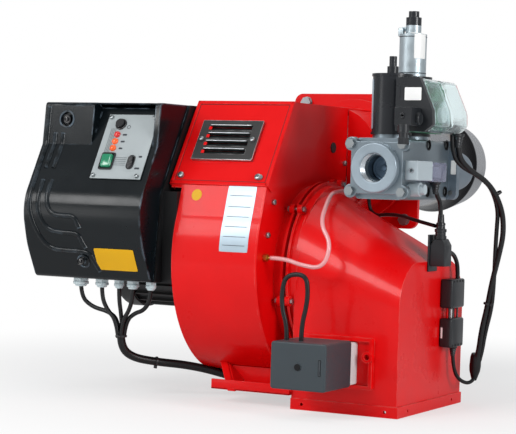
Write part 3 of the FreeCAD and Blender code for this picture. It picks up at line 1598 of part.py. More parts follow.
def cord_tube(points, radius):
    """A cable of straight runs and tangent arcs, with its tightest bend."""
    corners = [Vector(*p) for p in points]
    radii = []
    for i in range(1, len(corners) - 1):
        before = corners[i - 1] - corners[i]
        after = corners[i + 1] - corners[i]
        half = (math.pi - before.getAngle(after)) / 2
        radii.append(0.45 * min(before.Length, after.Length) / math.tan(half))
    if not radii:
        wire = Part.Wire(Part.LineSegment(corners[0], corners[1]).toShape())
    else:
        wire = rounded_wire(corners, radii)
    solid = pipe_along(wire, radius, corners)
    tightest = min(radii) if radii else 0
    return solid, tightest


CORDS = {
    "panel_leads": [
        (3, [(-309, -430, -216), (-309, -430, -244), (-288, -426, -262), (-256, -423, -268),
             (-237, -423, -282), (-235.3, -423.3, -306)]),
        (3, [(-267, -430, -216), (-267, -430, -242), (-256, -430, -264), (-238, -429.4, -280),
             (-233.3, -429.4, -306)]),
        (3, [(-233, -430, -216), (-233, -430, -244), (-231, -424, -272), (-230, -419.5, -306)]),
        (3, [(-206, -430, -216), (-206, -430, -243), (-213, -430, -265), (-225, -429.4, -281),
             (-226.7, -429.4, -306)]),
        (3, [(-171, -430, -216), (-171, -430, -243), (-186, -426, -262), (-206, -423, -268),
             (-222, -423, -282), (-224.7, -423.3, -306)]),
        (7, [(-230, -424.6, -306.5), (-230, -423, -338), (-218, -404, -366), (-190, -372, -380),
             (-150, -340, -382), (-104, -312, -381.7), (-52.6, -296, -381.7)]),
    ],
    "servo_leads": [
        (2.3, [(101, -466, -287.8), (101, -466, -266), (93, -468, -241), (91, -468, -214),
               (97, -467, -186), (131, -465, -184), (135, -464, -212), (132, -464, -238),
               (126, -465, -264), (126, -465, -287.8)]),
    ],
    "pressure_hose": [
        (3.5, [(43.2, -417, -164), (70, -417, -164), (97, -421, -172), (138, -420, -177),
               (147, -410, -137), (122, -402, -106), (122, -378, -72), (114, -346, -58),
               (103, -306, -56), (92, -262, -54), (83, -222, -54), (76, -186, -50),
               (76, -152.2, -50)]),
    ],
    "gas_leads": [
        (2.5, [(84, -133, -58.2), (84, -133, -82), (106, -152, -96), (138, -180, -92),
               (176, -205, -92), (222, -238, -100), (260, -256, -106)]),
        (2.5, [(269, -258, -87.8), (269, -258, -68), (269, -282, -54), (269, -284, -34.4)]),
        (4.5, [(296, -262, 42.8), (296, -262, 12), (306, -240, -12), (328, -196, -34),
               (337, -158, -74), (338, -148, -116), (330, -148, -156), (320, -148, -198),
               (312, -145, -240), (303, -146, -282), (298, -142, -318), (288, -144, -350)]),
        (3, [(270, -239.8, -148), (270, -216, -148), (269, -190, -156), (268, -172, -174),
             (268, -172, -193.8)]),
        (2.5, [(266, -178, -307.2), (266, -178, -334), (272, -170, -362), (286, -148, -372),
               (290, -126, -356), (289, -130, -334)]),
    ],
}


LEAST_BEND = 2


def cords():
    for name, runs in CORDS.items():
        tubes = []
        for radius, points in runs:
            solid, tightest = cord_tube(points, radius)
            tubes.append(shaped(solid))
            if tightest < LEAST_BEND * 2 * radius:
                raise RuntimeError(f"{name} bends too tightly")
        node(name, group(*tubes) if len(tubes) > 1 else tubes[0])


fan_housing()
side_panel()
rubber_seals()
front_cover()
louvre_grille()
flange_plate()
flange_gasket()
mounting_bolts()
blast_tube()
gas_head_pipe()
flame_disc()
electrodes()
air_box()
servo_screw = servo_base()
servo_cover()
damper()
foot_bracket()
motor_body()
motor_fan_cover()
node("motor_shaft", fuse(motor_shaft(), cooling_fan()))
impeller()
panel_cover()
panel_base()
control_plate()
control_pieces()
cable_glands()
panel_inside()
inlet_flange()
valve_block()
node("valve_coils", group(coil(s.coil_y), coil(s.rear_coil_y)))
coil_fittings()
plugs(switch_stack())
gas_elbow()
air_switch()
hose_nipple()
plug_box()
connectors()
cords()
node("cover_screws", group(*cover_screws(), *panel_screws(), *block_screws(), *servo_screw))
node("clamp_bolts", group(*seam_screws(), *gas_bolts()))

doc.recompute()
for item in doc.Objects:
    if "Invalid" in item.State or "Error" in item.State:
        raise RuntimeError(f"{item.Label} does not compute")

os.makedirs("parts", exist_ok=True)
for item in NODES:
    shape = item.Shape
    if shape.isNull() or not shape.isValid():
        raise RuntimeError(f"{item.Label} has no valid shape")
    if not shape.Solids:
        raise RuntimeError(f"{item.Label} has no solid")
    shape.exportStep(f"parts/{item.Label}.step")
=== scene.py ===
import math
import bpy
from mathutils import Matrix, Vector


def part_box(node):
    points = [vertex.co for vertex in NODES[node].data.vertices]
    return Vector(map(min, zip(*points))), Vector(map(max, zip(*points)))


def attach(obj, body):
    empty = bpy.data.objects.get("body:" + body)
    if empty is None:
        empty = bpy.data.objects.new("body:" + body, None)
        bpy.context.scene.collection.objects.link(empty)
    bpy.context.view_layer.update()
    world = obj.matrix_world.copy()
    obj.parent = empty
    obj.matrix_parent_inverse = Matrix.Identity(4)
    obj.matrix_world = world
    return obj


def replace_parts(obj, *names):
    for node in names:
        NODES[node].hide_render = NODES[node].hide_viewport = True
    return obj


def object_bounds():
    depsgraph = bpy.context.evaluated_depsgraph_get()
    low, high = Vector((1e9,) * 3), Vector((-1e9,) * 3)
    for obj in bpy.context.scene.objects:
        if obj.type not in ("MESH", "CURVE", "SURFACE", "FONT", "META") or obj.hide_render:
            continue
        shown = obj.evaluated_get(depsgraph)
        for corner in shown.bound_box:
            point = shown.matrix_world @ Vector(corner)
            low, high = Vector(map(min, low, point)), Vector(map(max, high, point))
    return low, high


bl_info = {
    "name": "Forced Draught Gas Burner",
    "version": (1, 0, 0),
    "blender": (4, 5, 0),
    "location": "View3D > Sidebar > Burner",
    "description": "Finishes the pieces of a gas burner around its packed frame",
    "category": "Object",
}

import bpy
import bmesh
from mathutils import Matrix, Vector

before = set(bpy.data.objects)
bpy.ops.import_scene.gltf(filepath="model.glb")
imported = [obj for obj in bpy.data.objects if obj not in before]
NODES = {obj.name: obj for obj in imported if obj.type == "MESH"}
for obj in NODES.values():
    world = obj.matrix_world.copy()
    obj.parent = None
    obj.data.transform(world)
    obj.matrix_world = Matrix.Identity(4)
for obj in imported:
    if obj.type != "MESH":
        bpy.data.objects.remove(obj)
cad_low, cad_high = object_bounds()
PANEL_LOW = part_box("panel_base")[0].z

# Places of the burner's slopes, in metres and degrees
CAMERA_PLACE = Vector((1.3684, -2.9779, -0.0299))
CAMERA_TURN = math.radians(27.8)
CAMERA_DROP = math.radians(1.37)
CAMERA_ROLL = math.radians(1.68)
PHOTO_WIDTH = 516
PHOTO_FOCAL = 1800
SENSOR_WIDTH = 36.0
COVER_FOOT = Vector((0.0, -0.4141, -0.0509))
COVER_ANGLE = math.radians(57.7)
PANEL_FOOT = Vector((0.0, -0.448, 0.011))
PANEL_ANGLE = math.radians(61.2)
GAS_AXIS_X = 0.222
GAS_AXIS_Z = -0.015
FRONT = (0.0, -1.0, 0.0)
RIGHT = (1.0, 0.0, 0.0)


def lit(red, green, painted_reflection_band):
    """A screen colour of 0 to 255 as scene linear numbers."""
    parts = []
    for value in (red, green, painted_reflection_band):
        share = value / 255
        parts.append(share / 12.92 if share <= 0.04045 else ((share + 0.055) / 1.055) ** 2.4)
    return tuple(parts)


def colour_value(label, help_text, red, green, painted_reflection_band):
    return bpy.props.FloatVectorProperty(
        name=label, description=help_text, subtype="COLOR", size=3, min=0.0, max=1.0,
        default=lit(red, green, painted_reflection_band)
    )


def length_value(label, help_text, size):
    return bpy.props.FloatProperty(
        name=label, description=help_text, subtype="DISTANCE", unit="LENGTH", min=0.0001, max=1.0,
        default=size
    )


class BurnerSizes(bpy.types.PropertyGroup):
    lead_width: length_value("Lead width", "Diameter of the leads under the glands", 0.0072)
    bundle_width: length_value("Bundle width", "Diameter of the taped lead bundle", 0.014)
    servo_lead_width: length_value("Servo lead width", "Diameter of the servomotor's lead", 0.0074)
    hose_width: length_value("Hose width", "Diameter of the pressure hose", 0.007)
    small_lead_width: length_value("Small lead width", "Diameter of the gas train's small leads", 0.0062)
    harness_width: length_value("Harness width", "Diameter of the gas train's harness", 0.009)
    rib_width: length_value("Rib width", "Width of the control box's moulded ribs", 0.009)
    tie_width: length_value("Tie width", "Width of a cable tie's strap", 0.0032)
    label_thickness: length_value("Label thickness", "Thickness of the bare plates", 0.0004)
    thread_pitch: length_value("Thread pitch", "Pitch of the gas inlet's thread", 0.0023)


class BurnerColours(bpy.types.PropertyGroup):
    housing_red: colour_value("Housing red", "Paint of the fan housing and air box", 224, 6, 9)
    box_black: colour_value("Box black", "Moulded cover of the control box", 11, 18, 22)
    base_black: colour_value("Base black", "Base of the control box", 10, 11, 13)
    cable_black: colour_value("Cable black", "Sheath of the leads", 14, 15, 17)
    servo_grey: colour_value("Servo grey", "Cover of the servomotor", 46, 57, 63)
    cast_alloy: colour_value("Cast alloy", "Valve block and elbow", 134, 148, 160)
    machined_alloy: colour_value("Machined alloy", "Turned faces of the gas train", 190, 197, 202)
    zinc: colour_value("Zinc", "Bolts and screws", 164, 170, 172)
    steel: colour_value("Stainless steel", "Blast tube", 176, 178, 182)
    plate_grey: colour_value("Plate grey", "Control plate under its buttons", 166, 174, 176)
    gland_grey: colour_value("Gland grey", "Cable glands", 206, 222, 226)
    hose_pink: colour_value("Hose pink", "Clear hose over the red paint", 224, 150, 152)
    hood_clear: colour_value("Hood clear", "Clear hoods of the pressure switches", 240, 248, 249)
    label_yellow: colour_value("Label yellow", "Plate on the control box", 222, 168, 8)
    label_silver: colour_value("Label silver", "Plate on the fan housing", 170, 188, 200)
    rocker_green: colour_value("Rocker green", "Lit rocker switch", 6, 132, 92)
    lamp_orange: colour_value("Lamp orange", "Run lamps", 236, 92, 22)
    lamp_red: colour_value("Lamp red", "Fault lamp", 206, 24, 22)


# Making of meshes, as by hand


def clear_selection():
    if bpy.context.object and bpy.context.object.mode != "OBJECT":
        bpy.ops.object.mode_set(mode="OBJECT")
    bpy.ops.object.select_all(action="DESELECT")


def newest(name):
    made = bpy.context.object
    made.name = name
    made.data.name = name
    return made


def choose(made):
    clear_selection()
    made.select_set(True)
    bpy.context.view_layer.objects.active = made


def settle(made):
    """Puts the piece's place, turn and scale into its mesh."""
    choose(made)
    bpy.ops.object.transform_apply(location=True, rotation=True, scale=True)
    return made


def apply_modifier(made, kind, **values):
    choose(made)
    modifier = made.modifiers.new(kind.title(), kind)
    for key, value in values.items():
        setattr(modifier, key, value)
    bpy.ops.object.modifier_apply(modifier=modifier.name)
    return made


def outward(made, smooth=35):
    """Merges doubles, turns every face outwards and smooths the soft edges."""
    choose(made)
    bpy.ops.object.mode_set(mode="EDIT")
    bpy.ops.mesh.select_all(action="SELECT")
    bpy.ops.mesh.remove_doubles(threshold=0.00001)
    bpy.ops.mesh.normals_make_consistent(inside=False)
    bpy.ops.object.mode_set(mode="OBJECT")
    bpy.ops.object.shade_smooth_by_angle(angle=math.radians(smooth))
    return made


def soften(made, width, segments=3, limit=30):
    return apply_modifier(
        made, "BEVEL", width=width, segments=segments, limit_method="ANGLE", angle_limit=math.radians(limit)
    )


def slab(name, size, centre=(0.0, 0.0, 0.0), width=0.001, segments=3):
    """A block with softened edges: size and centre in metres."""
    clear_selection()
    bpy.ops.mesh.primitive_cube_add(size=1.0)
    made = newest(name)
    made.scale = size
    settle(made)
    if width:
        soften(made, width, segments)
    made.location = centre
    settle(made)
    return outward(made)


def drawn(name, places):
    """A line of edges through places, all selected in edit mode."""
    clear_selection()
    bpy.ops.mesh.primitive_plane_add(size=0.01)
    made = newest(name)
    bpy.ops.object.mode_set(mode="EDIT")
    bpy.ops.mesh.select_mode(type="VERT")
    bpy.ops.mesh.select_all(action="SELECT")
    bpy.ops.mesh.merge(type="CENTER")
    bpy.ops.transform.translate(value=places[0])
    for before, after in zip(places, places[1:]):
        move = tuple(end - start for start, end in zip(before, after))
        bpy.ops.mesh.extrude_vertices_move(TRANSFORM_OT_translate={"value": move})
    bpy.ops.mesh.select_all(action="SELECT")
    return made


def turned(name, axis, centre, profile, steps=48, smooth=35):
    """Spins a profile of (radius, height) about an axis: Y or Z through the centre."""
    made = drawn(name, [(radius, 0.0, height) for radius, height in profile])
    bpy.ops.mesh.spin(steps=steps, angle=math.tau, center=(0, 0, 0), axis=(0, 0, 1))
    bpy.ops.object.mode_set(mode="OBJECT")
    made.matrix_world = axis_turn(axis)
    settle(made)
    made.location = centre
    settle(made)
    return outward(made, smooth)


def axis_turn(axis):
    if axis == "Y":
        return Matrix.Rotation(math.radians(-90), 4, "X")
    return Matrix.Identity(4)


def cut_plate(name, points, thickness, place, width=0.0002):
    """A flat plate of an outline, thickened upwards and put in its place by a matrix."""
    made = drawn(name, [(x, y, 0.0) for x, y in points])
    bpy.ops.mesh.edge_face_add()
    bpy.ops.mesh.extrude_region_move(TRANSFORM_OT_translate={"value": (0.0, 0.0, thickness)})
    bpy.ops.object.mode_set(mode="OBJECT")
    outward(made)
    if width:
        soften(made, width, 2)
    made.matrix_world = place
    settle(made)
    return outward(made)


def rounded_outline(width, height, radius, steps=5):
    """Corner points of a rectangle with rounded corners, about its middle."""
    points = []
    corners = ((1, 1, 0), (-1, 1, 90), (-1, -1, 180), (1, -1, 270))
    for side_x, side_y, start in corners:
        for step in range(steps + 1):
            angle = math.radians(start + 90 * step / steps)
            x = side_x * (width / 2 - radius) + radius * math.cos(angle)
            y = side_y * (height / 2 - radius) + radius * math.sin(angle)
            points.append((x, y))
    return points


def wire(name, points, width, order=3, resolution=16):
    """A smooth round line through control points, left as a curve."""
    data = bpy.data.curves.new(name, "CURVE")
    data.dimensions = "3D"
    data.bevel_depth = width / 2
    data.bevel_resolution = 6
    data.resolution_u = resolution
    data.use_fill_caps = True
    line = data.splines.new("NURBS")
    line.points.add(len(points) - 1)
    for point, place in zip(line.points, points):
        point.co = (place[0], place[1], place[2], 1.0)
    line.order_u = order
    line.use_endpoint_u = True
    made = bpy.data.objects.new(name, data)
    bpy.context.scene.collection.objects.link(made)
    return made


def as_mesh(made):
    choose(made)
    bpy.ops.object.convert(target="MESH")
    return outward(bpy.context.object, 50)


def join(name, parts):
    choose(parts[0])
    for part in parts:
        part.select_set(True)
    bpy.ops.object.join()
    made = newest(name)
    return settle(made)


def upright(y):
    """The place of an outline that is drawn across and up, its back at a depth."""
    return Matrix(((1.0, 0.0, 0.0, 0.0), (0.0, 0.0, -1.0, y), (0.0, 1.0, 0.0, 0.0), (0.0, 0.0, 0.0, 1.0)))


def sideways(x):
    """The place of an outline that is drawn backwards and up, its left side at x."""
    return Matrix(((0.0, 0.0, 1.0, x), (1.0, 0.0, 0.0, 0.0), (0.0, 1.0, 0.0, 0.0), (0.0, 0.0, 0.0, 1.0)))


def slope_matrix(foot, angle, x, u, w):
    """The place on a slope: x along it, u up it and w out of it, as a matrix."""
    up = Vector((0.0, math.cos(angle), math.sin(angle)))
    out = Vector((0.0, -math.sin(angle), math.cos(angle)))
    across = Vector((1.0, 0.0, 0.0))
    place = foot + across * x + up * u + out * w
    return Matrix((
        (across.x, up.x, out.x, place.x),
        (across.y, up.y, out.y, place.y),
        (across.z, up.z, out.z, place.z),
        (0.0, 0.0, 0.0, 1.0),
    ))


def on_panel(x, u, w=0.0):
    return slope_matrix(PANEL_FOOT, PANEL_ANGLE, x, u, w)


def on_cover(x, u, w=0.0):
    return slope_matrix(COVER_FOOT, COVER_ANGLE, x, u, w)


def facing(axis, place):
    """The matrix that lays a flat piece so that its top looks along a direction."""
    out = Vector(axis).normalized()
    across = Vector((0.0, 0.0, 1.0)).cross(out)
    if across.length < 0.01:
        across = Vector((1.0, 0.0, 0.0))
    across.normalize()
    up = out.cross(across)
    return Matrix((
        (across.x, up.x, out.x, place[0]),
        (across.y, up.y, out.y, place[1]),
        (across.z, up.z, out.z, place[2]),
        (0.0, 0.0, 0.0, 1.0),
    ))


def put(made, place):
    made.matrix_world = place
    return settle(made)


def carrier(name):
    """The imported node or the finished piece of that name."""
    return NODES[name] if name in NODES else bpy.data.objects[name]


def rounded_copy(node, name, rounds):
    """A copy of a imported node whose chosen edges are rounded: tests with a width and segments."""
    made = bpy.data.objects.new(name, NODES[node].data.copy())
    bpy.context.scene.collection.objects.link(made)
    made.data.materials.clear()
    choose(made)
    bpy.ops.object.mode_set(mode="EDIT")
    bpy.ops.mesh.select_mode(type="EDGE")
    bpy.ops.mesh.select_all(action="SELECT")
    bpy.ops.mesh.remove_doubles(threshold=0.00002)
    bpy.ops.mesh.dissolve_limited(angle_limit=math.radians(1.0))
    for test, width, segments in rounds:
        bpy.ops.mesh.select_all(action="DESELECT")
        net = bmesh.from_edit_mesh(made.data)
        found = 0
        for edge in net.edges:
            first, second = (vertex.co for vertex in edge.verts)
            sharp = len(edge.link_faces) == 2 and edge.calc_face_angle(0.0) > math.radians(8)
            chosen = sharp and test(first, second)
            edge.select_set(chosen)
            found += chosen
        bmesh.update_edit_mesh(made.data)
        if not found:
            raise RuntimeError(f"{name}: no edge found to round")
        bpy.ops.mesh.bevel(offset=width, segments=segments, profile=0.5, affect="EDGES", clamp_overlap=True)
    bpy.ops.object.mode_set(mode="OBJECT")
    bpy.ops.object.shade_smooth_by_angle(angle=math.radians(32))
    return apply_modifier(made, "WEIGHTED_NORMAL", keep_sharp=True, weight=60)


def softened_path(points):
    """The same path with its corners drawn in, over and over."""
    for _ in range(3):
        closer = [points[0]]
        for first, second in zip(points, points[1:]):
            closer.append(tuple(a * 0.75 + b * 0.25 for a, b in zip(first, second)))
            closer.append(tuple(a * 0.25 + b * 0.75 for a, b in zip(first, second)))
        closer.append(points[-1])
        points = closer
    return points


def finish_piece(made, finish, body="burner", replaces=None):
    """Gives a piece its finish and its body, and hides the node that it stands for."""
    made.data.materials.clear()
    made.data.materials.append(finish_of(finish))
    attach(made, body)
    if replaces:
        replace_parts(made, replaces)
    return made


def dress(**finishes):
    """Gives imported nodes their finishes."""
    for node, finish in finishes.items():
        NODES[node].data.materials.clear()
        NODES[node].data.materials.append(finish_of(finish))


def second_finish(made, finish, test):
    """A further finish for the faces that pass a test."""
    made.data.materials.append(finish_of(finish))
    for face in made.data.polygons:
        if test(face):
            face.material_index = 1


def spun(name, profile, place, finish, steps=48, smooth=35):
    """A finished round piece: its profile is spun about the axis of its place."""
    made = turned(name, "Z", Vector(), profile, steps, smooth)
    put(made, place)
    return finish_piece(made, finish)


def surface_at(made, start, along):
    """Where a line from a place meets a piece, and the direction of its surface there."""
    hit, place, normal, _ = made.ray_cast(Vector(start), Vector(along))
    if not hit:
        raise RuntimeError(f"{made.name} has nothing in line with {tuple(start)}")
    return place, normal


# Shared effects of the materials


def new_group(name, inputs, outputs):
    group = bpy.data.node_groups.new(name, "ShaderNodeTree")
    for label, kind, value in inputs:
        socket = group.interface.new_socket(name=label, in_out="INPUT", socket_type=kind)
        socket.default_value = value
    for label, kind in outputs:
        group.interface.new_socket(name=label, in_out="OUTPUT", socket_type=kind)
    return group, group.nodes.new("NodeGroupInput"), group.nodes.new("NodeGroupOutput")


def link(tree, source, target):
    tree.links.new(source, target)


def math_node(tree, operation, first, second):
    node = tree.nodes.new("ShaderNodeMath")
    node.operation = operation
    for socket, value in zip(node.inputs, (first, second)):
        if isinstance(value, (int, float)):
            socket.default_value = value
        else:
            link(tree, value, socket)
    return node.outputs[0]


def ramp_node(tree, value, low, high, to_low=0.0, to_high=1.0):
    node = tree.nodes.new("ShaderNodeMapRange")
    node.interpolation_type = "SMOOTHSTEP"
    link(tree, value, node.inputs["Value"])
    node.inputs["From Min"].default_value = low
    node.inputs["From Max"].default_value = high
    node.inputs["To Min"].default_value = to_low
    node.inputs["To Max"].default_value = to_high
    return node.outputs["Result"]


def noise_node(tree, place, scale, detail=3.0, rough=0.5):
    node = tree.nodes.new("ShaderNodeTexNoise")
    link(tree, place, node.inputs["Vector"])
    if isinstance(scale, (int, float)):
        node.inputs["Scale"].default_value = scale
    else:
        link(tree, scale, node.inputs["Scale"])
    node.inputs["Detail"].default_value = detail
    node.inputs["Roughness"].default_value = rough
    return node.outputs["Fac"]


def mix_node(tree, factor, first, second):
    node = tree.nodes.new("ShaderNodeMix")
    node.data_type = "RGBA"
    link(tree, factor, node.inputs["Factor"])
    for socket, value in ((node.inputs["A"], first), (node.inputs["B"], second)):
        if isinstance(value, tuple):
            socket.default_value = value + (1.0,)
        else:
            link(tree, value, socket)
    return node.outputs["Result"]


def build_edge_wear_and_sheen():
    """A mask that is strong where an edge is turned, broken up by a noise: worn edges on some finishes, a
    painted highlight on others.
    """
    group, start, end = new_group(
        "Edge wear and sheen",
        (
            ("Width", "NodeSocketFloat", 0.001), ("Amount", "NodeSocketFloat", 0.5),
            ("Breakup", "NodeSocketFloat", 60.0),
        ),
        (("Mask", "NodeSocketFloat"),),
    )
    bevel = group.nodes.new("ShaderNodeBevel")
    bevel.samples = 4
    link(group, start.outputs["Width"], bevel.inputs["Radius"])
    surface = group.nodes.new("ShaderNodeNewGeometry")
    dot = group.nodes.new("ShaderNodeVectorMath")
    dot.operation = "DOT_PRODUCT"
    link(group, bevel.outputs["Normal"], dot.inputs[0])
    link(group, surface.outputs["Normal"], dot.inputs[1])
    turned_edge = ramp_node(group, dot.outputs["Value"], 0.995, 0.90, 0.0, 1.0)
    place = group.nodes.new("ShaderNodeTexCoord").outputs["Object"]
    broken = ramp_node(group, noise_node(group, place, start.outputs["Breakup"], 4.0), 0.38, 0.62)
    mask = math_node(group, "MULTIPLY", turned_edge, broken)
    mask = math_node(group, "MULTIPLY", mask, start.outputs["Amount"])
    link(group, mask, end.inputs["Mask"])
    return group


def build_dust():
    """A mask for dust that settles on faces that look up."""
    group, start, end = new_group(
        "Settled dust",
        (("Amount", "NodeSocketFloat", 0.2), ("Patch", "NodeSocketFloat", 14.0)),
        (("Mask", "NodeSocketFloat"),),
    )
    surface = group.nodes.new("ShaderNodeNewGeometry")
    split = group.nodes.new("ShaderNodeSeparateXYZ")
    link(group, surface.outputs["Normal"], split.inputs[0])
    up = ramp_node(group, split.outputs["Z"], 0.35, 0.95)
    place = group.nodes.new("ShaderNodeTexCoord").outputs["Object"]
    patches = ramp_node(group, noise_node(group, place, start.outputs["Patch"], 6.0, 0.65), 0.3, 0.7)
    mask = math_node(group, "MULTIPLY", up, patches)
    mask = math_node(group, "MULTIPLY", mask, start.outputs["Amount"])
    link(group, mask, end.inputs["Mask"])
    return group


def build_grain():
    """Fine height and tone of a painted, moulded or cast surface."""
    group, start, end = new_group(
        "Surface grain",
        (
            ("Fine", "NodeSocketFloat", 700.0), ("Wide", "NodeSocketFloat", 8.0),
            ("Share", "NodeSocketFloat", 0.35),
        ),
        (("Height", "NodeSocketFloat"), ("Tone", "NodeSocketFloat")),
    )
    place = group.nodes.new("ShaderNodeTexCoord").outputs["Object"]
    fine = noise_node(group, place, start.outputs["Fine"], 2.0)
    wide = noise_node(group, place, start.outputs["Wide"], 5.0, 0.6)
    kept = math_node(group, "MULTIPLY", fine, start.outputs["Share"])
    height = math_node(group, "ADD", kept, math_node(group, "MULTIPLY", wide, 0.25))
    link(group, height, end.inputs["Height"])
    link(group, ramp_node(group, wide, 0.25, 0.75), end.inputs["Tone"])
    return group


def build_brushed():
    """Fine lines round an axis or along one, as a lathe or a brush leaves them."""
    group, start, end = new_group(
        "Brushed lines",
        (("Stretch", "NodeSocketVector", (1.0, 1.0, 1.0)), ("Scale", "NodeSocketFloat", 300.0)),
        (("Height", "NodeSocketFloat"), ("Tone", "NodeSocketFloat")),
    )
    place = group.nodes.new("ShaderNodeTexCoord").outputs["Object"]
    pull = group.nodes.new("ShaderNodeVectorMath")
    pull.operation = "MULTIPLY"
    link(group, place, pull.inputs[0])
    link(group, start.outputs["Stretch"], pull.inputs[1])
    lines = noise_node(group, pull.outputs["Vector"], start.outputs["Scale"], 4.0, 0.7)
    link(group, lines, end.inputs["Height"])
    link(group, ramp_node(group, lines, 0.3, 0.7), end.inputs["Tone"])
    return group


GROUPS = {}


def effect(tree, name, **values):
    """Places one of the shared effects in a material, with its own values."""
    builders = {"wear_and_sheen": build_edge_wear_and_sheen, "dust": build_dust, "grain": build_grain, "brushed": build_brushed}
    if name not in GROUPS:
        GROUPS[name] = builders[name]()
    node = tree.nodes.new("ShaderNodeGroup")
    node.node_tree = GROUPS[name]
    for key, value in values.items():
        node.inputs[key].default_value = value
    return node


def start_material(name, roughness, metallic=0.0):
    material = bpy.data.materials.new(name)
    material.use_nodes = True
    tree = material.node_tree
    shader = tree.nodes["Principled BSDF"]
    shader.inputs["Roughness"].default_value = roughness
    shader.inputs["Metallic"].default_value = metallic
    return material, tree, shader


def add_bump(tree, shader, height, strength, distance):
    bump = tree.nodes.new("ShaderNodeBump")
    bump.inputs["Strength"].default_value = strength
    bump.inputs["Distance"].default_value = distance
    link(tree, height, bump.inputs["Height"])
    link(tree, bump.outputs["Normal"], shader.inputs["Normal"])


def darker(colour, share):
    return tuple(value * share for value in colour)


def surface_material(
    name,
    colour,
    roughness,
    metallic=0.0,
    fine=700.0,
    bump=0.15,
    depth=0.0003,
    variation=0.88,
    wear_and_sheen=0.0,
    worn_and_sheen_colour=(0.4, 0.4, 0.4),
    wear_and_sheen_width=0.001,
    dust=0.0,
    coat=0.0,
    coat_roughness=0.05,
    level=0.5,
):
    """A painted, moulded or cast surface with grain, changing tone, a lighter edge colour and dust; the
    edge colour is real wear on some finishes and a painted highlight on others.
    """
    colour = tuple(colour)
    material, tree, shader = start_material(name, roughness, metallic)
    grain = effect(tree, "grain", Fine=fine)
    base = mix_node(tree, grain.outputs["Tone"], darker(colour, variation), colour)
    rough = ramp_node(tree, grain.outputs["Tone"], 0.0, 1.0, roughness * 0.85, min(1.0, roughness * 1.2))
    # Lighter colour on turned edges: worn edges, and on the red cast paint and the box cover a painted
    # highlight.
    if wear_and_sheen:
        edges = effect(tree, "wear_and_sheen", Amount=wear_and_sheen, Width=wear_and_sheen_width)
        base = mix_node(tree, edges.outputs["Mask"], base, tuple(worn_and_sheen_colour))
    if dust:
        settled = effect(tree, "dust", Amount=dust)
        base = mix_node(tree, settled.outputs["Mask"], base, (0.42, 0.40, 0.37))
        rough = math_node(tree, "ADD", rough, math_node(tree, "MULTIPLY", settled.outputs["Mask"], 0.35))
    link(tree, base, shader.inputs["Base Color"])
    link(tree, rough, shader.inputs["Roughness"])
    shader.inputs["Coat Weight"].default_value = coat
    shader.inputs["Coat Roughness"].default_value = coat_roughness
    shader.inputs["Specular IOR Level"].default_value = level
    add_bump(tree, shader, grain.outputs["Height"], bump, depth)
    return material


def brushed_material(name, colour, roughness, stretch, scale=300.0, bump=0.1, metallic=1.0, variation=0.8):
    """A turned or brushed metal whose lines run one way."""
    colour = tuple(colour)
    material, tree, shader = start_material(name, roughness, metallic)
    lines = effect(tree, "brushed", Stretch=stretch, Scale=scale)
    base = mix_node(tree, lines.outputs["Tone"], darker(colour, variation), colour)
    link(tree, base, shader.inputs["Base Color"])
    rough = ramp_node(tree, lines.outputs["Tone"], 0.0, 1.0, roughness * 1.25, roughness * 0.8)
    link(tree, rough, shader.inputs["Roughness"])
    if bump:
        add_bump(tree, shader, lines.outputs["Height"], bump, 0.0002)
    return material


def tube_material(name, colour):
    """Stainless steel with a straw heat tint towards its mouth, then a near-black band that is a painted
    dark reflection, bare again at the rim.
    """
    colour = tuple(colour)
    material, tree, shader = start_material(name, 0.28, 1.0)
    lines = effect(tree, "brushed", Stretch=(0.12, 1.0, 0.12), Scale=420.0)
    place = tree.nodes.new("ShaderNodeTexCoord").outputs["Object"]
    split = tree.nodes.new("ShaderNodeSeparateXYZ")
    link(tree, place, split.inputs[0])
    straw = ramp_node(tree, split.outputs["Y"], 0.250, 0.292)
    painted_reflection_band = ramp_node(tree, split.outputs["Y"], 0.284, 0.302)
    bare = ramp_node(tree, split.outputs["Y"], 0.3515, 0.3560)
    base = mix_node(tree, lines.outputs["Tone"], darker(colour, 0.82), colour)
    base = mix_node(tree, straw, base, (0.34, 0.31, 0.28))
    # A near-black band at the flare: painted dark reflection.
    base = mix_node(tree, painted_reflection_band, base, (0.012, 0.012, 0.014))
    base = mix_node(tree, bare, base, colour)
    link(tree, base, shader.inputs["Base Color"])
    rough = ramp_node(tree, lines.outputs["Tone"], 0.0, 1.0, 0.36, 0.22)
    link(tree, rough, shader.inputs["Roughness"])
    add_bump(tree, shader, lines.outputs["Height"], 0.1, 0.0002)
    return material


def clear_material(name, colour, clear):
    """Clear moulded plastic with faint swirls in its gloss."""
    roughness = 0.07
    material, tree, shader = start_material(name, roughness)
    shader.inputs["Base Color"].default_value = tuple(colour) + (1.0,)
    shader.inputs["Transmission Weight"].default_value = clear
    shader.inputs["IOR"].default_value = 1.16
    grain = effect(tree, "grain", Fine=90.0, Wide=20.0)
    rough = ramp_node(tree, grain.outputs["Tone"], 0.0, 1.0, roughness, roughness * 2.2)
    link(tree, rough, shader.inputs["Roughness"])
    add_bump(tree, shader, grain.outputs["Height"], 0.12, 0.0004)
    return material


def lamp_material(name, colour, glow):
    """A lens that is lit from behind, its tone broken up by a fine grain."""
    colour = tuple(colour)
    material, tree, shader = start_material(name, 0.15)
    grain = effect(tree, "grain", Fine=1500.0, Wide=60.0)
    base = mix_node(tree, grain.outputs["Tone"], darker(colour, 0.75), colour)
    link(tree, base, shader.inputs["Base Color"])
    link(tree, base, shader.inputs["Emission Color"])
    shader.inputs["Emission Strength"].default_value = glow
    shader.inputs["Coat Weight"].default_value = 0.6
    add_bump(tree, shader, grain.outputs["Height"], 0.1, 0.0002)
    return material


def seen_straight(tree, path):
    """1 where the camera sees a place directly or through clear plastic, else 0."""
    return math_node(tree, "MAXIMUM", path.outputs["Is Camera Ray"], path.outputs["Is Transmission Ray"])


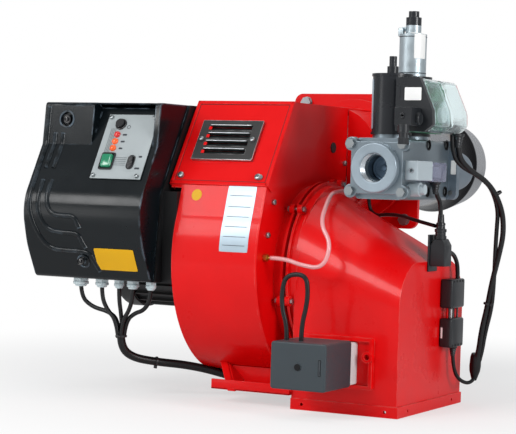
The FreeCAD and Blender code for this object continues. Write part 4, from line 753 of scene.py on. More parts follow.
FINISHES = {
    "red paint": lambda tints: surface_material(
        "Red stove paint", tints.housing_red, 0.34, fine=520.0, bump=0.14, depth=0.0003, variation=0.92,
        wear_and_sheen=0.3, worn_and_sheen_colour=(0.72, 0.12, 0.10), wear_and_sheen_width=0.0014, dust=0.01, coat=0.1, coat_roughness=0.06,
        level=0.15,
    ),
    # The lighter red on its rounded edges is a painted highlight of the clear coat.
    "red cast": lambda tints: surface_material(
        "Red paint on cast metal", tints.housing_red, 0.3, fine=300.0, bump=0.5, depth=0.0007,
        variation=0.9, wear_and_sheen=0.45, worn_and_sheen_colour=(0.80, 0.22, 0.19), wear_and_sheen_width=0.0018, dust=0.01, coat=0.14,
        coat_roughness=0.06, level=0.15,
    ),
    # The bluish grey on its edges and ribs is a painted highlight.
    "box cover": lambda tints: surface_material(
        "Moulded black gloss", tints.box_black, 0.24, fine=900.0, bump=0.12, depth=0.0003, variation=0.7,
        wear_and_sheen=0.8, worn_and_sheen_colour=(0.15, 0.20, 0.25), wear_and_sheen_width=0.0045, dust=0.01, coat=0.08, coat_roughness=0.12,
        level=0.22,
    ),
    "box base": lambda tints: surface_material(
        "Black box base", tints.base_black, 0.5, fine=800.0, bump=0.2, variation=0.8, wear_and_sheen=0.2,
        worn_and_sheen_colour=(0.08, 0.08, 0.09), level=0.3,
    ),
    "black plastic": lambda tints: surface_material(
        "Black moulded plug", (0.014, 0.016, 0.019), 0.3, fine=1200.0, bump=0.2, variation=0.75, wear_and_sheen=0.5,
        worn_and_sheen_colour=(0.10, 0.12, 0.13), wear_and_sheen_width=0.0007, dust=0.02, level=0.42,
    ),
    "coil black": lambda tints: surface_material(
        "Black coil resin", (0.012, 0.014, 0.018), 0.28, fine=1000.0, bump=0.16, variation=0.8, wear_and_sheen=0.4,
        worn_and_sheen_colour=(0.12, 0.14, 0.15), wear_and_sheen_width=0.0007, dust=0.02, level=0.42,
    ),
    "motor black": lambda tints: surface_material(
        "Black motor enamel", (0.012, 0.013, 0.014), 0.42, fine=260.0, bump=0.3, depth=0.0005,
        variation=0.75, wear_and_sheen=0.3, worn_and_sheen_colour=(0.14, 0.14, 0.15), dust=0.15,
    ),
    "cable sheath": lambda tints: surface_material(
        "Black cable sheath", tints.cable_black, 0.38, fine=1600.0, bump=0.2, variation=0.75, level=0.35
    ),
    "hose": lambda tints: surface_material(
        "Clear red-tinged hose", tints.hose_pink, 0.22, fine=400.0, bump=0.08, variation=0.86, coat=0.5
    ),
    "servo cover": lambda tints: surface_material(
        "Grained grey cover", tints.servo_grey, 0.5, fine=900.0, bump=0.5, depth=0.0004, variation=0.85,
        wear_and_sheen=0.35, worn_and_sheen_colour=(0.22, 0.24, 0.26), wear_and_sheen_width=0.0008, dust=0.1,
    ),
    "servo shade": lambda tints: surface_material(
        "Shaded servo recess", lit(52, 58, 64), 0.55, fine=900.0, bump=0.2, variation=0.85
    ),
    "servo base": lambda tints: surface_material(
        "Pale servo base", lit(214, 218, 218), 0.5, fine=900.0, bump=0.25, variation=0.9, dust=0.08
    ),
    "cast alloy": lambda tints: surface_material(
        "Sand-cast alloy", tints.cast_alloy, 0.42, 0.75, fine=380.0, bump=0.45, depth=0.0006,
        variation=0.72, wear_and_sheen=0.5, worn_and_sheen_colour=(0.62, 0.65, 0.68), wear_and_sheen_width=0.001, dust=0.06,
    ),
    "die-cast": lambda tints: surface_material(
        "Machined valve body", lit(136, 148, 156), 0.3, 0.85, fine=900.0, bump=0.16, depth=0.0003,
        variation=0.8, wear_and_sheen=0.5, worn_and_sheen_colour=(0.7, 0.73, 0.76), wear_and_sheen_width=0.0008, dust=0.05,
    ),
    "turned alloy": lambda tints: brushed_material(
        "Turned alloy", tints.machined_alloy, 0.26, (0.3, 1.0, 0.3), 500.0
    ),
    "valve disc": lambda tints: brushed_material(
        "Anodised valve disc", lit(112, 136, 160), 0.4, (1.0, 0.2, 1.0), 300.0, metallic=0.6
    ),
    "brake alloy": lambda tints: brushed_material(
        "Turned brake body", lit(176, 188, 194), 0.36, (0.2, 0.2, 1.0), 90.0, bump=0.0, metallic=0.75,
        variation=0.93,
    ),
    "zinc": lambda tints: surface_material(
        "Zinc-plated steel", tints.zinc, 0.3, 0.9, fine=700.0, bump=0.12, variation=0.8, wear_and_sheen=0.4,
        worn_and_sheen_colour=(0.7, 0.7, 0.7), wear_and_sheen_width=0.0004,
    ),
    "inlet": lambda tints: surface_material(
        "Machined cast inlet", lit(156, 170, 180), 0.4, 0.6, fine=420.0, bump=0.5, depth=0.0005,
        variation=0.7, wear_and_sheen=0.5, worn_and_sheen_colour=(0.75, 0.77, 0.79), wear_and_sheen_width=0.001,
    ),
    "grille": lambda tints: surface_material(
        "Charcoal grille", lit(54, 54, 54), 0.42, 0.3, fine=900.0, bump=0.18, variation=0.8, wear_and_sheen=0.9,
        worn_and_sheen_colour=(0.52, 0.53, 0.54), wear_and_sheen_width=0.0009,
    ),
    "silver trim": lambda tints: brushed_material(
        "Satin silver edge", lit(186, 192, 194), 0.3, (0.1, 1.0, 1.0), 700.0
    ),
    "stainless": lambda tints: tube_material("Heat-tinted stainless with painted reflection", tints.steel),
    "inner steel": lambda tints: brushed_material(
        "Plain steel inside", lit(130, 132, 134), 0.4, (1.0, 0.2, 1.0), 300.0
    ),
    "fan steel": lambda tints: surface_material(
        "Galvanised fan wheel", lit(150, 154, 158), 0.42, 0.8, fine=120.0, bump=0.2, variation=0.65
    ),
    "brass": lambda tints: brushed_material(
        "Turned brass", lit(206, 168, 86), 0.28, (0.3, 1.0, 0.3), 400.0
    ),
    "bronze": lambda tints: brushed_material(
        "Sintered bronze", lit(176, 132, 82), 0.4, (1.0, 0.3, 1.0), 400.0
    ),
    "ceramic": lambda tints: surface_material(
        "Glazed ceramic", lit(236, 232, 222), 0.2, fine=300.0, bump=0.1, variation=0.92, coat=0.4
    ),
    "gasket": lambda tints: surface_material(
        "Fibre gasket", lit(206, 200, 186), 0.9, fine=260.0, bump=0.6, depth=0.0006, variation=0.75
    ),
    "rubber": lambda tints: surface_material(
        "Black rubber", (0.010, 0.010, 0.011), 0.65, fine=900.0, bump=0.3, variation=0.7, dust=0.1
    ),
    "gland": lambda tints: surface_material(
        "Pale gland nylon", tints.gland_grey, 0.32, fine=1000.0, bump=0.1, variation=0.88, coat=0.3
    ),
    "grey plastic": lambda tints: surface_material(
        "Grey moulded plastic", lit(140, 146, 152), 0.4, fine=1000.0, bump=0.2, variation=0.85, wear_and_sheen=0.3,
        worn_and_sheen_colour=(0.5, 0.52, 0.54), wear_and_sheen_width=0.0006, dust=0.06,
    ),
    "control plate": lambda tints: surface_material(
        "Printed control plate", tints.plate_grey, 0.4, fine=1500.0, bump=0.05, variation=0.88, coat=0.15
    ),
    # Dark print; on the brake it is painted shade in the grooves.
    "dark print and groove shade": lambda tints: surface_material(
        "Dark print and painted groove shade", lit(40, 46, 54), 0.4, fine=1500.0, bump=0.05, variation=0.9
    ),
    "yellow plate": lambda tints: surface_material(
        "Bare yellow plate", tints.label_yellow, 0.42, fine=900.0, bump=0.08, variation=0.92, level=0.25
    ),
    "silver plate": lambda tints: surface_material(
        "Bare silver plate", tints.label_silver, 0.34, 0.35, fine=900.0, bump=0.08, variation=0.86, coat=0.2
    ),
    "white plate": lambda tints: surface_material(
        "Bare white plate", lit(244, 244, 242), 0.4, fine=900.0, bump=0.08, variation=0.95
    ),
    "dial": lambda tints: surface_material(
        "White dial", lit(228, 230, 228), 0.4, fine=900.0, bump=0.08, variation=0.92
    ),
    "switch green": lambda tints: surface_material(
        "Green switch board", lit(58, 128, 92), 0.5, fine=300.0, bump=0.25, variation=0.7
    ),
    "button black": lambda tints: surface_material(
        "Black button", (0.010, 0.010, 0.012), 0.22, fine=1500.0, bump=0.08, variation=0.8, coat=0.5
    ),
    "controller": lambda tints: surface_material(
        "Blue-grey controller case", lit(92, 104, 120), 0.5, fine=900.0, bump=0.2, variation=0.85
    ),
    "transformer": lambda tints: surface_material(
        "Potted transformer", lit(40, 40, 44), 0.45, fine=500.0, bump=0.25, variation=0.8
    ),
    # Dark red painted shade along creases.
    "crease shade": lambda tints: surface_material(
        "Painted crease shade", (0.05, 0.006, 0.006), 0.6, fine=900.0, bump=0.2, variation=0.8
    ),
    "tie": lambda tints: surface_material(
        "Black nylon tie", (0.012, 0.012, 0.014), 0.45, fine=1400.0, bump=0.12, variation=0.8
    ),
    "hood": lambda tints: clear_material("Clear switch hood", tints.hood_clear, 0.97),
    "violet hood": lambda tints: clear_material("Clear violet plug", lit(176, 178, 200), 0.7),
    "pale plug": lambda tints: surface_material(
        "Pale moulded plug", lit(172, 184, 190), 0.34, fine=1000.0, bump=0.15, variation=0.9, wear_and_sheen=0.3,
        worn_and_sheen_colour=(0.7, 0.72, 0.74), wear_and_sheen_width=0.0006, dust=0.04,
    ),
    # Near-black painted shade, laid into slots, pockets and recesses.
    "recess shade": lambda tints: surface_material(
        "Painted recess shade", (0.006, 0.006, 0.007), 0.5, fine=900.0, bump=0.15, variation=0.8, level=0.2
    ),
    "lens green": lambda tints: lamp_material("Green rocker lens", tints.rocker_green, 0.08),
    "lens orange": lambda tints: lamp_material("Orange lens", tints.lamp_orange, 0.3),
    "lens red": lambda tints: lamp_material("Red lens", tints.lamp_red, 0.2),
}
MADE = {}


def finish_of(name):
    """The finish of that name, made once, when a piece first needs it."""
    if name not in MADE:
        MADE[name] = FINISHES[name](bpy.context.scene.burner_colours)
    return MADE[name]


# Routes of the leads and the hose: control points of their centre lines, in metres

GLAND_LEAD_LEFT = (
    (-0.309, -0.43, -0.216), (-0.309, -0.43, -0.244), (-0.288, -0.426, -0.262), (-0.256, -0.423, -0.268),
    (-0.237, -0.423, -0.282), (-0.2353, -0.4233, -0.306),
)
GLAND_LEAD_SECOND = (
    (-0.267, -0.43, -0.216), (-0.267, -0.43, -0.242), (-0.256, -0.43, -0.264), (-0.238, -0.4294, -0.28),
    (-0.2333, -0.4294, -0.306),
)
GLAND_LEAD_MIDDLE = (
    (-0.233, -0.43, -0.216), (-0.233, -0.43, -0.244), (-0.231, -0.424, -0.272), (-0.23, -0.4195, -0.306),
)
GLAND_LEAD_FOURTH = (
    (-0.206, -0.43, -0.216), (-0.206, -0.43, -0.243), (-0.213, -0.43, -0.265), (-0.225, -0.4294, -0.281),
    (-0.2267, -0.4294, -0.306),
)
GLAND_LEAD_RIGHT = (
    (-0.171, -0.43, -0.216), (-0.171, -0.43, -0.243), (-0.186, -0.426, -0.262), (-0.206, -0.423, -0.268),
    (-0.222, -0.423, -0.282), (-0.2247, -0.4233, -0.306),
)
LEAD_BUNDLE = (
    (-0.23, -0.4246, -0.3065), (-0.23, -0.423, -0.326), (-0.219, -0.405, -0.344), (-0.19, -0.372, -0.352),
    (-0.15, -0.34, -0.3565), (-0.104, -0.312, -0.367), (-0.0526, -0.296, -0.3817),
)
SERVO_LEAD = (
    (0.101, -0.466, -0.2878), (0.101, -0.466, -0.266), (0.093, -0.468, -0.241), (0.091, -0.468, -0.214),
    (0.097, -0.467, -0.186), (0.131, -0.465, -0.184), (0.135, -0.464, -0.212), (0.132, -0.464, -0.238),
    (0.126, -0.465, -0.264), (0.126, -0.465, -0.2878),
)
PRESSURE_HOSE = (
    (0.0432, -0.417, -0.164), (0.07, -0.417, -0.164), (0.097, -0.421, -0.172), (0.138, -0.42, -0.177),
    (0.147, -0.41, -0.137), (0.122, -0.402, -0.106), (0.122, -0.378, -0.072), (0.114, -0.346, -0.058),
    (0.103, -0.306, -0.056), (0.092, -0.262, -0.054), (0.083, -0.222, -0.054), (0.076, -0.186, -0.05),
    (0.076, -0.1522, -0.05),
)
AIR_SWITCH_LEAD = (
    (0.084, -0.133, -0.0582), (0.084, -0.133, -0.082), (0.106, -0.152, -0.096), (0.138, -0.18, -0.092),
    (0.176, -0.205, -0.092), (0.222, -0.238, -0.1), (0.26, -0.256, -0.106),
)
PILOT_LEAD = (
    (0.269, -0.258, -0.0878), (0.269, -0.258, -0.068), (0.269, -0.282, -0.054), (0.269, -0.284, -0.0344),
)
GAS_HARNESS = (
    (0.296, -0.262, 0.0428), (0.296, -0.262, 0.012), (0.306, -0.24, -0.012), (0.328, -0.196, -0.034),
    (0.337, -0.158, -0.074), (0.338, -0.148, -0.116), (0.33, -0.148, -0.156), (0.32, -0.148, -0.198),
    (0.312, -0.145, -0.24), (0.303, -0.146, -0.282), (0.298, -0.142, -0.318), (0.2885, -0.1385, -0.35),
)
HARNESS_SECOND = (
    (0.289, -0.2685, 0.0428), (0.289, -0.2685, 0.014), (0.298, -0.248, -0.010), (0.326, -0.203, -0.028),
    (0.3315, -0.160, -0.072), (0.325, -0.1485, -0.118), (0.324, -0.1485, -0.158), (0.3225, -0.1455, -0.200),
    (0.319, -0.143, -0.242), (0.307, -0.138, -0.284), (0.3010, -0.136, -0.322), (0.2915, -0.1335, -0.351),
)
PLUG_BOX_LEAD = (
    (0.27, -0.2398, -0.148), (0.27, -0.216, -0.148), (0.269, -0.19, -0.156), (0.268, -0.172, -0.174),
    (0.268, -0.172, -0.1938),
)
CONNECTOR_LEAD = (
    (0.266, -0.178, -0.3072), (0.266, -0.178, -0.334), (0.272, -0.17, -0.362), (0.286, -0.148, -0.372),
    (0.29, -0.126, -0.356), (0.289, -0.13, -0.334),
)


class BurnerPiece(bpy.types.Operator):
    """Shared form of the burner's operators"""

    bl_idname = "burner.piece"
    bl_label = "Burner Piece"
    bl_options = {"REGISTER", "UNDO"}

    def execute(self, context):
        clear_selection()
        self.make(context.scene.burner_sizes)
        return {"FINISHED"}

    def make(self, sizes):
        raise NotImplementedError


class BURNER_OT_camera(BurnerPiece):
    """Places the camera at the photograph's viewing angle"""

    bl_idname = "burner.camera"
    bl_label = "Camera"

    def make(self, sizes):
        look = Vector((
            -math.sin(CAMERA_TURN) * math.cos(CAMERA_DROP),
            math.cos(CAMERA_TURN) * math.cos(CAMERA_DROP),
            -math.sin(CAMERA_DROP),
        ))
        level = Vector((math.cos(CAMERA_TURN), math.sin(CAMERA_TURN), 0.0))
        above = level.cross(look)
        right = math.cos(CAMERA_ROLL) * level + math.sin(CAMERA_ROLL) * above
        up = -math.sin(CAMERA_ROLL) * level + math.cos(CAMERA_ROLL) * above
        data = bpy.data.cameras.new("Photo camera")
        data.sensor_fit = "HORIZONTAL"
        data.sensor_width = SENSOR_WIDTH
        data.lens = PHOTO_FOCAL * SENSOR_WIDTH / PHOTO_WIDTH
        data.clip_start = 0.1
        data.clip_end = 40.0
        camera = bpy.data.objects.new("Photo camera", data)
        bpy.context.scene.collection.objects.link(camera)
        camera.matrix_world = Matrix((
            (right.x, up.x, -look.x, CAMERA_PLACE.x),
            (right.y, up.y, -look.y, CAMERA_PLACE.y),
            (right.z, up.z, -look.z, CAMERA_PLACE.z),
            (0.0, 0.0, 0.0, 1.0),
        ))
        bpy.context.scene.camera = camera


def lay_cord(name, points, width, node, finish="cable sheath"):
    """A lead along its route, drawn as a round curve that hides its node."""
    made = wire(name, points, width)
    made.data.materials.append(finish_of(finish))
    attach(made, "burner")
    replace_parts(made, node)


class BURNER_OT_cords(BurnerPiece):
    """Lays the leads, the taped bundle and the pressure hose"""

    bl_idname = "burner.cords"
    bl_label = "Leads and Hose"

    def make(self, sizes):
        lead = sizes.lead_width
        small = sizes.small_lead_width
        lay_cord("gland_lead_left", GLAND_LEAD_LEFT, lead, "panel_leads")
        lay_cord("gland_lead_second", GLAND_LEAD_SECOND, lead, "panel_leads")
        lay_cord("gland_lead_middle", GLAND_LEAD_MIDDLE, lead, "panel_leads")
        lay_cord("gland_lead_fourth", GLAND_LEAD_FOURTH, lead, "panel_leads")
        lay_cord("gland_lead_right", GLAND_LEAD_RIGHT, lead, "panel_leads")
        lay_cord("lead_bundle", LEAD_BUNDLE, sizes.bundle_width, "panel_leads")
        lay_cord("servo_lead", SERVO_LEAD, sizes.servo_lead_width, "servo_leads")
        lay_cord("pressure_hose_line", PRESSURE_HOSE, sizes.hose_width, "pressure_hose", "hose")
        lay_cord("air_switch_lead", AIR_SWITCH_LEAD, small, "gas_leads")
        lay_cord("pilot_lead", PILOT_LEAD, lead, "gas_leads")
        lay_cord("gas_harness", GAS_HARNESS, sizes.harness_width, "gas_leads")
        lay_cord("gas_harness_second", HARNESS_SECOND, lead, "gas_leads")
        lay_cord("plug_box_lead", PLUG_BOX_LEAD, lead, "gas_leads")
        lay_cord("connector_lead", CONNECTOR_LEAD, small, "gas_leads")


class BURNER_OT_stage(BurnerPiece):
    """Makes the pale floor, the backdrop and the soft studio light"""

    bl_idname = "burner.stage"
    bl_label = "Stage"

    def make(self, sizes):
        bpy.ops.mesh.primitive_grid_add(x_subdivisions=12, y_subdivisions=12, size=9.0)
        floor = newest("pale_floor")
        floor.location = (0.0, 1.6, cad_low.z - 0.0005)
        settle(floor)
        floor.data.materials.append(self.floor_material())
        self.area("key light", (-0.7, -3.0, 1.7), (0.0, -0.25, -0.1), 1.1, 40.0)
        self.area("side light", (3.1, -1.3, 0.8), (0.1, -0.2, -0.1), 1.0, 52.0)
        self.area("top light", (0.2, -0.4, 2.6), (0.0, -0.2, 0.0), 1.6, 12.0)
        self.area("low fill", (-1.8, -2.4, -0.1), (-0.1, -0.3, -0.15), 0.8, 5.0)
        self.area("left light", (-1.9, -2.8, 1.25), (-0.27, -0.5, -0.07), 0.8, 20.0)
        world = bpy.data.worlds.new("Studio")
        bpy.context.scene.world = world
        world.use_nodes = True
        tree = world.node_tree
        seen = tree.nodes["Background"]
        seen.inputs["Color"].default_value = (1.0, 1.0, 1.0, 1.0)
        seen.inputs["Strength"].default_value = 1.0
        room = tree.nodes.new("ShaderNodeBackground")
        room.inputs["Color"].default_value = (0.93, 0.96, 1.0, 1.0)
        room.inputs["Strength"].default_value = 0.34
        path = tree.nodes.new("ShaderNodeLightPath")
        shown = seen_straight(tree, path)
        glossy = math_node(tree, "MULTIPLY", path.outputs["Is Glossy Ray"], 0.3)
        shown = math_node(tree, "MAXIMUM", shown, glossy)
        blend = tree.nodes.new("ShaderNodeMixShader")
        link(tree, shown, blend.inputs["Fac"])
        link(tree, room.outputs[0], blend.inputs[1])
        link(tree, seen.outputs[0], blend.inputs[2])
        link(tree, blend.outputs[0], tree.nodes["World Output"].inputs["Surface"])
        bpy.context.scene.view_settings.view_transform = "Standard"

    def floor_material(self):
        material, tree, shader = start_material("Pale floor", 0.8)
        grain = effect(tree, "grain", Fine=60.0, Wide=1.2)
        base = mix_node(tree, grain.outputs["Tone"], (0.86, 0.86, 0.86), (0.88, 0.88, 0.88))
        link(tree, base, shader.inputs["Base Color"])
        glow = tree.nodes.new("ShaderNodeEmission")
        glow.inputs["Color"].default_value = (1.0, 1.0, 1.0, 1.0)
        path = tree.nodes.new("ShaderNodeLightPath")
        place = tree.nodes.new("ShaderNodeTexCoord").outputs["Object"]
        away = tree.nodes.new("ShaderNodeVectorMath")
        away.operation = "LENGTH"
        link(tree, place, away.inputs[0])
        share = ramp_node(tree, away.outputs["Value"], 0.45, 1.3, 0.55, 1.0)
        shown = seen_straight(tree, path)
        share = math_node(tree, "MULTIPLY", share, shown)
        blend = tree.nodes.new("ShaderNodeMixShader")
        link(tree, share, blend.inputs["Fac"])
        link(tree, shader.outputs[0], blend.inputs[1])
        link(tree, glow.outputs[0], blend.inputs[2])
        link(tree, blend.outputs[0], tree.nodes["Material Output"].inputs["Surface"])
        return material

    def area(self, name, place, target, size, power):
        bpy.ops.object.light_add(type="AREA", location=place)
        lamp = bpy.context.object
        lamp.name = name
        lamp.data.size = size
        lamp.data.energy = power
        away = Vector(place) - Vector(target)
        lamp.rotation_euler = away.to_track_quat("Z", "Y").to_euler()


# Small parts that repeat

AHEAD_Y = -0.62
DIAL_PLACES = (-0.3575, -0.2845)
FLAT = 0.00015
PANEL_TOP = 0.0016
POWER_PLACE = (-0.241, -0.032)
STAGE_PLACE = (-0.195, -0.033)
ROCKER_TILT = Matrix.Rotation(math.radians(8), 4, "X")


def cross_screw(name, width, place):
    """A pan head with a cross recess, its back on the place's origin."""
    r = width / 2
    profile = (
        (0.0, 0.0), (r, 0.0), (r, r * 0.28), (r * 0.93, r * 0.46), (r * 0.72, r * 0.6), (r * 0.4, r * 0.68),
        (0.0, r * 0.7)
    )
    head = turned(name, "Z", Vector(), profile, 24)
    bars = []
    for turn in (0.0, 90.0):
        bar = slab("bar", (r * 1.15, r * 0.26, r), (0.0, 0.0, r * 0.8), width=0.0)
        bar.rotation_euler = (0.0, 0.0, math.radians(turn + 28))
        bars.append(settle(bar))
    for bar in bars:
        apply_modifier(head, "BOOLEAN", object=bar, operation="DIFFERENCE", solver="EXACT")
        bpy.data.objects.remove(bar)
    outward(head, 30)
    put(head, place)
    return finish_piece(head, "zinc")


def stuck_on(name, width, height, place, target, finish, thickness, rounding=0.002, cells=14):
    """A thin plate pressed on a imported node's surface, along its own normal."""
    clear_selection()
    bpy.ops.mesh.primitive_grid_add(x_subdivisions=cells, y_subdivisions=cells, size=1.0)
    made = newest(name)
    made.scale = (width, height, 1.0)
    settle(made)
    if rounding:
        round_plan(made, width, height, rounding)
    made.matrix_world = place
    wrap = made.modifiers.new("Press", "SHRINKWRAP")
    wrap.target = carrier(target)
    wrap.wrap_method = "PROJECT"
    wrap.use_project_z = True
    wrap.use_positive_direction = False
    wrap.use_negative_direction = True
    wrap.offset = thickness * 0.5
    choose(made)
    bpy.ops.object.modifier_apply(modifier=wrap.name)
    settle(made)
    apply_modifier(made, "SOLIDIFY", thickness=thickness, offset=1.0)
    outward(made)
    return finish_piece(made, finish)


def round_plan(made, width, height, radius):
    """Draws the corners of a flat grid in to a radius."""
    for vertex in made.data.vertices:
        far_x = abs(vertex.co.x) - (width / 2 - radius)
        far_y = abs(vertex.co.y) - (height / 2 - radius)
        if far_x > 0 and far_y > 0:
            reach = math.hypot(far_x, far_y)
            largest = max(far_x, far_y)
            share = largest / reach
            vertex.co.x = math.copysign(width / 2 - radius + far_x * share, vertex.co.x)
            vertex.co.y = math.copysign(height / 2 - radius + far_y * share, vertex.co.y)


def printed_bar(name, width, height, place, finish="dark print and groove shade", body="burner"):
    """A flat print or plate with rounded corners."""
    corner = min(width, height) * 0.3 if min(width, height) < 0.004 else 0.0012
    made = cut_plate(name, rounded_outline(width, height, corner, 3), FLAT, place, width=0.0)
    return finish_piece(made, finish, body)


def printed_ring(name, outer, line, place):
    """A flat printed ring."""
    profile = ((outer - line, 0.0), (outer, 0.0), (outer, FLAT), (outer - line, FLAT), (outer - line, 0.0))
    return spun(name, profile, place, "dark print and groove shade", steps=20)


def collar_ring(name, inner, outer, high, place, finish):
    """A ring with a rounded top, round a button or a lamp."""
    middle = (inner + outer) / 2
    profile = (
        (inner, 0.0), (outer, 0.0), (outer, high * 0.6), (middle + (outer - middle) * 0.6, high * 0.92),
        (middle, high), (inner + (middle - inner) * 0.3, high * 0.9), (inner, high * 0.6), (inner, 0.0)
    )
    return spun(name, profile, place, finish, steps=40)


def window_frame(name, outer, corner, window, window_corner, thick, place, finish):
    """A flat frame with rounded corners round a rounded window."""
    made = cut_plate(
        name, rounded_outline(outer[0], outer[1], corner), thick, Matrix.Identity(4), width=0.0004
    )
    below = Matrix.Translation((0.0, 0.0, -thick))
    hole = cut_plate(
        "window", rounded_outline(window[0], window[1], window_corner, 8), thick * 3, below, width=0.0
    )
    apply_modifier(made, "BOOLEAN", object=hole, operation="DIFFERENCE", solver="EXACT")
    bpy.data.objects.remove(hole)
    put(outward(made), place)
    return finish_piece(made, finish)


def lead_boot(name, top, radius, lead, reach):
    """A ribbed sleeve that tapers down to the lead that leaves it."""
    profile = [(0.0, 0.0), (radius, 0.0), (radius, -reach * 0.16)]
    for step in range(4):
        share = 0.2 + 0.2 * step
        neck = radius + (lead - radius) * share
        profile += [
            (neck, -reach * share), (neck * 0.84, -reach * (share + 0.05)),
            (neck * 0.84, -reach * (share + 0.12)),
        ]
    profile += [(lead, -reach), (0.0, -reach)]
    finish_piece(turned(name, "Z", top, profile, 28, 40), "black plastic")


def cable_tie(name, centre, along, radius):
    """A nylon strap round a bundle with its square head and a cut tail."""
    half = bpy.context.scene.burner_sizes.tie_width / 2
    tail = 0.006
    profile = (
        (radius, -half), (radius + 0.0012, -half), (radius + 0.0012, half), (radius, half), (radius, -half)
    )
    strap = turned("strap", "Z", Vector(), profile, 32)
    head = slab("head", (0.0052, 0.0042, half * 3.2), (0.0, -radius - 0.0022, 0.0), width=0.0006)
    end = slab("end", (tail, 0.0011, half * 1.7), (tail / 2, -radius - 0.0030, 0.0), width=0.0003)
    made = join(name, [strap, head, end])
    put(made, facing(along, centre))
    finish_piece(made, "tie")


class BURNER_OT_control_box(BurnerPiece):
    """Finishes the moulded cover and base of the control box"""

    bl_idname = "burner.control_box"
    bl_label = "Control Box"

    def make(self, sizes):
        dress(panel_base="box base")
        cover = rounded_copy("panel_cover", "control_cover", (
            (self.belly_edge, 0.013, 6),
            (self.brow_edge, 0.006, 4),
            (self.side_edge, 0.0085, 6),
        ))
        choose(cover)
        bpy.ops.object.mode_set(mode="EDIT")
        bpy.ops.mesh.select_all(action="SELECT")
        bpy.ops.transform.resize(value=(1.0, 0.984, 1.0), center_override=(-0.27, -0.348, -0.07))
        bpy.ops.object.mode_set(mode="OBJECT")
        finish_piece(cover, "box cover", replaces="panel_cover")
        self.cover = cover
        self.rib("rib_outer", (
            (-0.3745, 0.074), (-0.3745, 0.010), (-0.3745, -0.070), (-0.3720, -0.105), (-0.3560, -0.146),
            (-0.3380, -0.163), (-0.3150, -0.166), (-0.2640, -0.166), (-0.2560, -0.182), (-0.2490, -0.199),
        ))
        self.rib("rib_middle", (
            (-0.3570, -0.050), (-0.3570, -0.088), (-0.3500, -0.116), (-0.3360, -0.132), (-0.3150, -0.136),
            (-0.2790, -0.136), (-0.2730, -0.149), (-0.2670, -0.161),
        ))
        self.rib("rib_inner", (
            (-0.3400, -0.050), (-0.3400, -0.080), (-0.3340, -0.099), (-0.3220, -0.107), (-0.3060, -0.108),
            (-0.2830, -0.108), (-0.2770, -0.121), (-0.2740, -0.128),
        ))
        for number, x in enumerate((-0.3590, -0.3430)):
            self.rib(f"short_rib_{number}", (
                (x, 0.030), (x, 0.012), (x - 0.0010, -0.010), (x - 0.0020, -0.030)
            ))
        self.recess_screw("high_recess", (-0.3380, 0.0530), 0.0130)
        self.recess_screw("low_recess", (-0.2770, -0.1830), 0.0100)
        plate = facing((0.0, -0.884, -0.466), (-0.2130, -0.4790, -0.1800))
        stuck_on("yellow_plate", 0.076, 0.040, plate, "control_cover", "yellow plate", 0.0006)

    def belly_edge(self, first, second):
        along = abs(first.x - second.x) > 0.02
        return along and all(v.y < -0.484 and -0.165 < v.z < -0.05 for v in (first, second))

    def brow_edge(self, first, second):
        along = abs(first.x - second.x) > 0.008
        high = all(v.z > 0.0805 and v.y < -0.43 for v in (first, second))
        low = all(v.z < -0.2115 and v.y < -0.45 for v in (first, second))
        return along and (high or low)

    def side_edge(self, first, second):
        for side in (-0.384, -0.156):
            if all(abs(v.x - side) < 0.0004 and v.y < -0.352 for v in (first, second)):
                return True
        return False

    def face_at(self, x, z):
        """The cover's outside at a place across and up, seen from the front."""
        return surface_at(self.cover, (x, AHEAD_Y, z), (0.0, 1.0, 0.0))

    def rib(self, name, path):
        """A moulded rib that follows the cover's outside and stands out by half its width."""
        width = bpy.context.scene.burner_sizes.rib_width
        places = []
        for x, z in softened_path(path):
            place, normal = self.face_at(x, z)
            places.append(tuple(place - normal * width * 0.12))
        made = as_mesh(wire(name, places, width, order=4, resolution=6))
        return finish_piece(made, "box cover")

    def recess_screw(self, name, at, radius):
        """A rim round the recess and a black plug of stepped rings in it."""
        x, z = at
        rim, normal = self.face_at(x + radius + 0.002, z)
        collar_ring(
            f"{name}_rim", radius - 0.0008, radius + 0.0022, 0.0014, facing(normal, (x, rim.y, z)),
            "box cover",
        )
        screw, _ = surface_at(NODES["cover_screws"], (x, AHEAD_Y, z), (0.0, 1.0, 0.0))
        r = radius * 0.62
        profile = (
            (0.0, 0.0), (r, 0.0), (r, 0.0030), (r * 0.82, 0.0042), (r * 0.74, 0.0026), (r * 0.56, 0.0026),
            (r * 0.48, 0.0050), (r * 0.30, 0.0054), (r * 0.22, 0.0036), (0.0, 0.0036),
        )
        spun(f"{name}_plug", profile, facing(FRONT, (x, screw.y + 0.0004, z)), "button black", steps=32)


